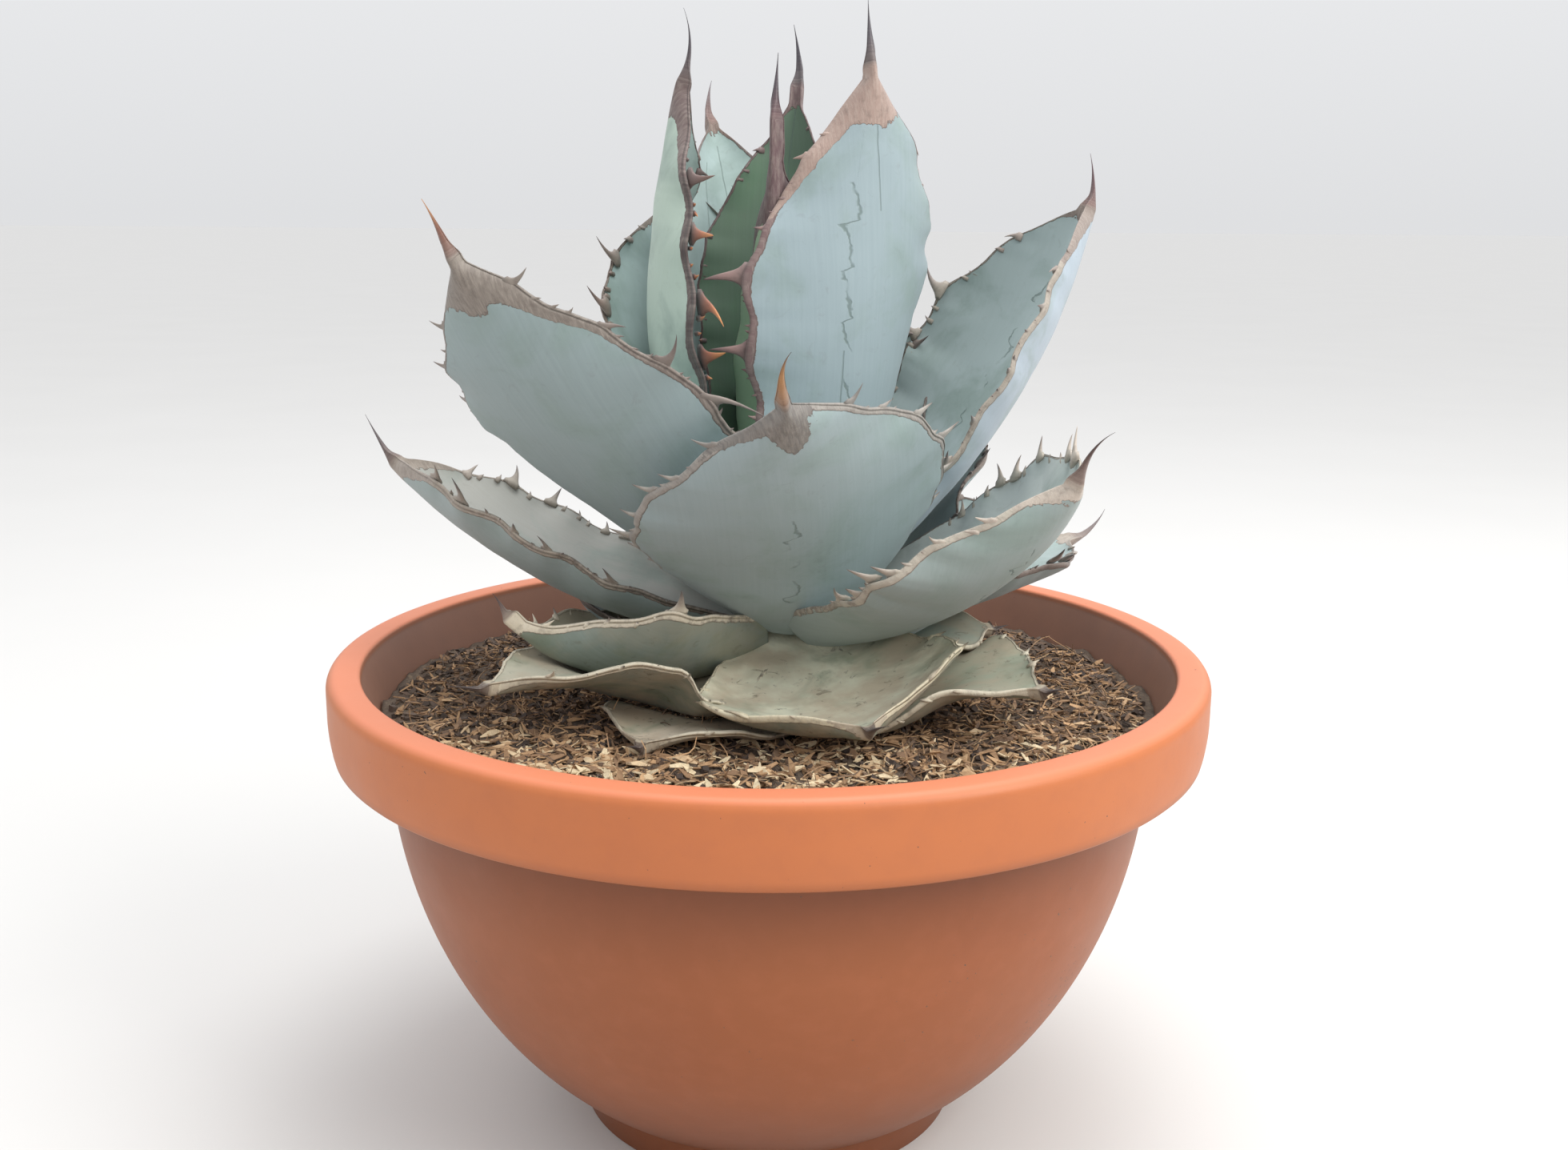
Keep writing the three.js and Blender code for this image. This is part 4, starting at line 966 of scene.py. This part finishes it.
def thorn(leaf, line, side, tooth, sides, reaches):
    """A curved tooth: rings from its sunk, flared foot in the margin to its point."""
    t, length, hook = tooth
    along, across, face = frame_at(leaf, t)
    half = float(half_width(leaf, np.array(t)))
    depth = between(leaf["cup"], t) * half
    out = across * side * half + face * 2 * depth
    out = out / np.linalg.norm(out)
    flat = np.cross(along, out)
    height = depth + margin_roll(leaf, side, np.array(t)) - EDGE_THICKNESS / 2
    root = point_on(line, t) + across * side * half + face * height
    root = root + out * float(margin_swell(leaf, margin_teeth(leaf, side), side, np.array([t]))[0])
    root = root - face * float(pressed(leaf, np.array(t), np.array(float(side))))
    curl = 0.3 * length * (draw(leaf["seed"], 700 + t * 900) - 0.35)
    rings = []
    for reach in reaches:
        ahead = max(reach, 0)
        centre = root + out * (reach * length if reach > 0 else -TOOTH_ROOT * (reach < 0))
        centre = centre + along * hook * length * ahead**2 + face * curl * ahead**2
        slim = (1 - ahead) ** 0.8
        breadth = (0.12 * length + 0.45) * slim + 0.2 * length * math.exp(-ahead / 0.13) + 0.06
        thickness = min((0.4 * EDGE_THICKNESS + 0.035 * length) * slim + 0.05, breadth)
        angles = np.linspace(0, 2 * math.pi, sides, endpoint=False)
        wide = column(np.cos(angles)) * along * breadth
        rings.append(centre + wide + column(np.sin(angles)) * flat * thickness * side)
    return np.array(rings), root, root + out * length + along * hook * length


def closed_tube(rings, offset):
    """Faces of a row of rings, closed at both ends."""
    rows, sides = rings.shape[:2]
    first = np.arange(sides)[::-1]
    last = np.arange(sides) + (rows - 1) * sides
    ends = [np.stack([np.full(sides - 2, r[0]), r[1:-1], r[2:]], -1) + offset for r in (first, last)]
    return [ring_faces(rows, sides, offset)], ends


leaves = {}
for number, (name, own) in enumerate(LEAVES.items()):
    leaves[name] = dict(COMMON, **own, seed=number + 1)

# Each leaf lies against the younger ones above it, so its blade is held back wherever it would run into them.
# The rough skins of the finished blades serve for this, and to find teeth that a neighbour has worn off.
PRESS_ROWS = 48
PRESS_COLUMNS = 13
PRESS_REACH = 30
PRESS_GAP = 0.8
PRESS_MOST = 16


def spread(values, how):
    """Each value joined with its neighbours by how."""
    padded = np.pad(values, 1, mode="edge")
    rows, columns = values.shape
    return how([padded[a : a + rows, b : b + columns] for a in range(3) for b in range(3)], axis=0)


skins = {}
press_places = np.linspace(0, 1, PRESS_ROWS)
press_fade = column(smooth_step(0.05, 0.28, press_places) * (1 - smooth_step(0.9, 1, press_places)))
for name, leaf in leaves.items():
    upper_face = blade(leaf, PRESS_ROWS, PRESS_COLUMNS)["loops"][:, :PRESS_COLUMNS]
    facing = frame_at(leaf, press_places)[2]
    push = np.zeros((PRESS_ROWS, PRESS_COLUMNS))
    for row, place in np.ndindex(push.shape):
        start = Vector(upper_face[row, place] - PRESS_REACH * facing[row])
        for skin in skins.values():
            met = skin.ray_cast(start, Vector(facing[row]), PRESS_REACH + PRESS_GAP)[3]
            if met is not None:
                push[row, place] = max(push[row, place], PRESS_REACH + PRESS_GAP - met)
    push = spread(np.minimum(push, PRESS_MOST), np.max)
    leaf["push"] = spread(spread(push, np.mean), np.mean) * press_fade
    rough = blade(leaf, PRESS_ROWS, PRESS_COLUMNS)["loops"]
    skins[name] = BVHTree.FromPolygons(rough.reshape(-1, 3).tolist(), ring_faces(*rough.shape[:2]).tolist())


def blocked(name, root, tip):
    """Whether another blade stands in a tooth's way."""
    way = Vector(tip) - Vector(root)
    start = Vector(root) + way * 0.15
    others = [skin for other, skin in skins.items() if other != name]
    return any(skin.ray_cast(start, way.normalized(), way.length * 1.05)[0] for skin in others)


def grown_leaf(name, leaf, material):
    """The whole leaf in one mesh: blade, spine, teeth, and small bumps between the teeth."""
    form = blade(leaf, ALONG_ROWS, FACE_COLUMNS)
    spine = spine_loops(leaf, form)
    loops = np.concatenate([form["loops"], spine])
    rows, ring = loops.shape[:2]
    quads, ends = closed_tube(loops, 0)
    triangles = list(ends)
    points = [loops.reshape(-1, 3)]
    s = np.arange(1, SPINE_ROWS + 1) / SPINE_ROWS

    def grown(key, beyond):
        return np.concatenate([form[key], np.broadcast_to(column(beyond), (SPINE_ROWS, ring))]).ravel()

    layers = dict(
        band_depth=grown("band", 0 * s - 5), cap_depth=grown("cap", 20 + 0 * s),
        along=grown("along", 1 + s), face=grown("face", 0 * s), across=grown("across", 0 * s),
        place=grown("place", 0 * s),
    )
    horn_place = np.clip(layers["along"] - 1, 0, 1)
    layers["polish"] = smooth_step(0.05, 0.4, horn_place)
    horn_tones = [mixed_tone(leaf["horn"], smooth_step(0, 0.12, horn_place) * 0.33 + horn_place * 0.67)]
    edge_tones = [np.broadcast_to(linear(leaf["edge"][0]), horn_tones[0].shape)]
    base = rows * ring
    for side in (-1, 1):
        teeth = [(tooth, TOOTH_SIDES, TOOTH_RINGS) for tooth in form["teeth"][side]]
        taken = [tooth[0] for tooth in form["teeth"][side]]
        bumps = leaf["length"] * BUMP_REACH / BUMP_PITCH
        for key in range(int(bumps)):
            t = BUMP_START + BUMP_REACH * (key + 0.8 * draw(leaf["seed"], 400 + key * 2 + side)) / bumps
            if leaf["tooth"][0] and min(abs(t - place) for place in taken) * leaf["length"] > 5:
                size = (1.5 + 2.2 * draw(leaf["seed"], 500 + key * 2 + side)) * min(leaf["tooth"][0] / 8, 1)
                lean = draw(leaf["seed"], 600 + key) - 0.5
                teeth.append(((t, size, lean), BUMP_SIDES, BUMP_RINGS))
        for tooth, sides, reaches in teeth:
            rings, root, tip = thorn(leaf, form["line"], side, tooth, sides, reaches)
            if blocked(name, root, tip):
                continue
            tube, caps = closed_tube(rings, base)
            quads += tube
            triangles += caps
            points.append(rings.reshape(-1, 3))
            reach = np.repeat(np.clip(reaches, 0, 1), sides)
            base += len(reach)
            own = dict(band_depth=20, cap_depth=-20, along=tooth[0], face=0, across=side * 30, place=side)
            own["polish"] = 0.7 * reach
            for key, value in own.items():
                layers[key] = np.concatenate([layers[key], value + 0.0 * reach])
            # Teeth near the tip take the cap's colour.
            in_cap = float(smooth_step(0.76, 0.85, tooth[0]))
            tone = mixed_tone(leaf["edge"], reach**0.8) * (1 - in_cap)
            tone = tone + np.array(linear(leaf["horn"][0])) * in_cap
            horn_tones.append(tone)
            edge_tones.append(tone)
    all_faces = [np.concatenate(quads), np.concatenate(triangles)]
    piece = make_piece(name.replace("leaf", "agave_leaf"), np.concatenate(points), all_faces, material)
    mesh = piece.data
    upper, back = (np.array(linear(code)) for code in leaf["skin"])
    share = column(layers["face"] * 0.5 + 0.5)
    set_layer(mesh, "skin_tone", "FLOAT_COLOR", upper * share + back * (1 - share))
    set_layer(mesh, "horn_tone", "FLOAT_COLOR", np.concatenate(horn_tones))
    set_layer(mesh, "edge_tone", "FLOAT_COLOR", np.concatenate(edge_tones))
    for key in ("band_depth", "cap_depth", "polish"):
        set_layer(mesh, key, "FLOAT", layers[key])
    set_layer(mesh, "dryness", "FLOAT", np.full(base, float(leaf["dry"])))

    def to_mark(on_face, start, end, first, last):
        """Signed distance across the blade to a mark that runs along it, and far away beyond its ends."""
        run = (layers["along"] - first) / (last - first)
        half = half_width(leaf, np.clip(layers["along"], 0, 1))
        off = (layers["place"] - between((start, end), run)) * half
        inside = (layers["face"] * on_face > 0.5) & (run > 0) & (run < 1)
        return np.where(inside, off, np.where(off < 0, -FAR_AWAY, FAR_AWAY))

    imprint = np.full(base, FAR_AWAY)
    if leaf["imprint"]:
        on_face, spot, first, last = leaf["imprint"]
        hooked = layers["along"] * leaf["length"] / IMPRINT_PITCH % 1
        imprint = to_mark(on_face, spot, spot, first, last) - IMPRINT_HOOK * hooked**2
    set_layer(mesh, "imprint_mm", "FLOAT", imprint)
    creases = np.full((base, 3), FAR_AWAY)
    for at, crease in enumerate(leaf["creases"]):
        creases[:, at] = to_mark(*crease)
    set_layer(mesh, "crease_mm", "FLOAT_VECTOR", creases)
    uv = mesh.uv_layers.new(name="blade")
    corner_points = np.empty(len(mesh.loops), np.int32)
    mesh.loops.foreach_get("vertex_index", corner_points)
    flat = np.stack([layers["across"] / 100, layers["along"] * leaf["length"] / 100], -1)[corner_points]
    uv.data.foreach_set("uv", flat.astype(np.float32).ravel())
    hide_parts(name)


def waxy_leaf(name, green, rub, sheen, streak):
    """Succulent skin under a powdery wax: matt blue-white, greener where rubbed, horny at the margins."""
    material, node, place = new_finish(name)

    def ragged(value, size, reach):
        """A distance made uneven by up to reach either way, in bumps of the given size."""
        bumps = node("Math", (node("TexNoise", grains(place, size, 3, 0.6)), 0.5), operation="SUBTRACT")
        return node("Math", (value, node("Math", (bumps, 4 * reach), operation="MULTIPLY")))

    blade_place = node("UVMap", uv_map="blade")
    # Veins run along the blade a millimetre or two apart; drawn faint, under the wax.
    veins = node("Mapping", {"Vector": blade_place, "Scale": (60, 2.2, 1)})
    streaks = node("TexNoise", grains(veins, 1000, 3, 0.6))
    skin = node("Attribute", output="Color", attribute_name="skin_tone")
    veined = node("MapRange", (streaks, 0.35, 0.7, 0, streak))
    paler = node("Mix", {0: 0.5, 6: skin, 7: linear("#c3d2d6")}, data_type="RGBA")
    skin = node("Mix", {0: veined, 6: skin, 7: paler}, data_type="RGBA")
    # Wax rubbed thin in cloudy patches of 2 to 4 cm with sharper scuffs inside them.
    cloud = node("TexNoise", grains(place, 38, 4, 0.6, warp=0.6))
    cloud = node("MapRange", (cloud, 0.48, 0.68, 0, rub))
    scuff = node("TexNoise", grains(place, 9, 5, 0.65, warp=1.0))
    scuff = node("MapRange", (scuff, 0.5, 0.72, 0, rub * 0.8))
    skin = node("Mix", {0: cloud, 6: skin, 7: linear(green)}, data_type="RGBA")
    scuff = node("Math", (scuff, cloud), operation="MULTIPLY")
    skin = node("Mix", {0: scuff, 6: skin, 7: linear("#65766d")}, data_type="RGBA")
    # Drying skin: straw and pinkish tan from inside outwards, with brown flecks.
    dryness = node("Attribute", output="Fac", attribute_name="dryness")
    tan = node("MapRange", (node("TexNoise", grains(place, 34, 4, 0.6)), 0.42, 0.6))
    tan = node("Math", (tan, dryness), operation="MULTIPLY")
    skin = node("Mix", {0: tan, 6: skin, 7: linear("#b5a48e")}, data_type="RGBA")
    fleck = node("MapRange", (node("TexNoise", grains(place, 6, 4, 0.65, warp=0.8)), 0.6, 0.72))
    fleck = node("Math", (fleck, node("Math", (dryness, 0.12))), operation="MULTIPLY")
    skin = node("Mix", {0: fleck, 6: skin, 7: linear("#5b5344")}, data_type="RGBA")
    # Bud imprint: a soft dark wavering line 1 mm wide. Creases: straighter and thinner.
    line = ragged(node("Attribute", output="Fac", attribute_name="imprint_mm"), 11, 3)
    line = node("Math", [line], operation="ABSOLUTE")
    broken = node("MapRange", (node("TexNoise", grains(place, 14, 2)), 0.46, 0.54))
    line = node("Math", (node("MapRange", (line, 1.0, 0.3)), broken), operation="MULTIPLY")
    # The creases' darkening is partly painted shade in the folds.
    crease_mm = node("Attribute", output="Vector", attribute_name="crease_mm")
    for part in node("SeparateXYZ", [crease_mm]).node.outputs:
        crease = node("Math", [ragged(part, 12, 0.3)], operation="ABSOLUTE")
        line = node("Math", (line, node("MapRange", (crease, 0.45, 0.15, 0, 0.8))), operation="MAXIMUM")
    drawn = node("Math", (line, 0.6), operation="MULTIPLY")
    skin = node("Mix", {0: drawn, 6: skin, 7: linear("#54655f")}, data_type="RGBA")
    # Horn: fibrous and uneven in colour, with a fine dark line where it meets the skin.
    band = ragged(node("Attribute", output="Fac", attribute_name="band_depth"), 3, 0.5)
    cap = ragged(ragged(node("Attribute", output="Fac", attribute_name="cap_depth"), 8, 2.6), 2, 0.7)
    in_cap = node("MapRange", (cap, -0.1, 0.15))
    depth = node("Math", (band, cap), operation="MAXIMUM")
    horn = node("MapRange", (depth, -0.1, 0.15))
    rim = node("Math", (node("MapRange", (depth, 0.7, 0.2)), horn), operation="MULTIPLY")
    fibre_place = node("Mapping", {"Vector": blade_place, "Scale": (90, 14, 1)})
    fibres = node("TexNoise", grains(fibre_place, 1000, 4, 0.7))
    edge_tone = node("Attribute", output="Color", attribute_name="edge_tone")
    horn_tone = node("Attribute", output="Color", attribute_name="horn_tone")
    bone = node("Mix", {0: in_cap, 6: edge_tone, 7: horn_tone}, data_type="RGBA")
    plain = node("Attribute", output="Fac", attribute_name="polish")
    mottle = node("Math", (1, node("Math", (plain, 0.8), operation="MULTIPLY")), operation="SUBTRACT")
    pale = node("Math", (node("MapRange", (fibres, 0.4, 0.75, 0, 0.45)), mottle), operation="MULTIPLY")
    lighter = node("Mix", {0: 0.5, 6: bone, 7: linear("#d9cfc2")}, data_type="RGBA")
    bone = node("Mix", {0: pale, 6: bone, 7: lighter}, data_type="RGBA")
    stain = node("MapRange", (node("TexNoise", grains(place, 4, 5, 0.7)), 0.5, 0.7, 0, 0.4))
    stain = node("Math", (stain, mottle), operation="MULTIPLY")
    bone = node("Mix", {0: stain, 6: bone, 7: linear("#564a44")}, data_type="RGBA")
    rim_line = node("Math", (rim, 0.7), operation="MULTIPLY")
    bone = node("Mix", {0: rim_line, 6: bone, 7: linear("#54463f")}, data_type="RGBA")
    colour = node("Mix", {0: horn, 6: skin, 7: bone}, data_type="RGBA")
    shine = node("Math", (plain, 0.16), operation="MULTIPLY")
    rough = node("MapRange", (horn, 0, 1, 0.62, 0.52))
    rough = node("Math", (rough, shine), operation="SUBTRACT")
    relief = node("Math", (horn, mottle), operation="MULTIPLY")
    relief = node("Math", (fibres, relief), operation="MULTIPLY")
    height = node("Math", (node("Math", (horn, 0.8), operation="MULTIPLY"), relief))
    height = node("Math", (height, node("Math", (streaks, 0.7 * streak), operation="MULTIPLY")))
    height = node("Math", (height, node("Math", (line, -0.6), operation="MULTIPLY")))
    grit = node("Math", (node("TexNoise", grains(place, 0.8, 2)), 0.06), operation="MULTIPLY")
    height = node("Math", (height, grit))
    bump = node("Bump", {"Height": height, "Strength": 0.6, "Distance": 0.0006})
    inputs = {"Base Color": colour, "Roughness": rough, "IOR": 1.42, "Normal": bump, "Sheen Weight": sheen}
    inputs["Sheen Roughness"] = 0.6
    shader = node("BsdfPrincipled", inputs)
    node("OutputMaterial", {"Surface": shader})
    return material


finishes = {
    "leaf": waxy_leaf("waxy_leaf", "#7f938b", 0.55, 0.12, 0.135),
    "young_leaf": waxy_leaf("young_waxy_leaf", "#4f7d58", 0.25, 0.06, 0.036),
    "old_leaf": waxy_leaf("old_drying_leaf", "#6e7a62", 0.7, 0.05, 0.113),
}
for name, leaf in leaves.items():
    grown_leaf(name, leaf, finishes[leaf["slot"]])
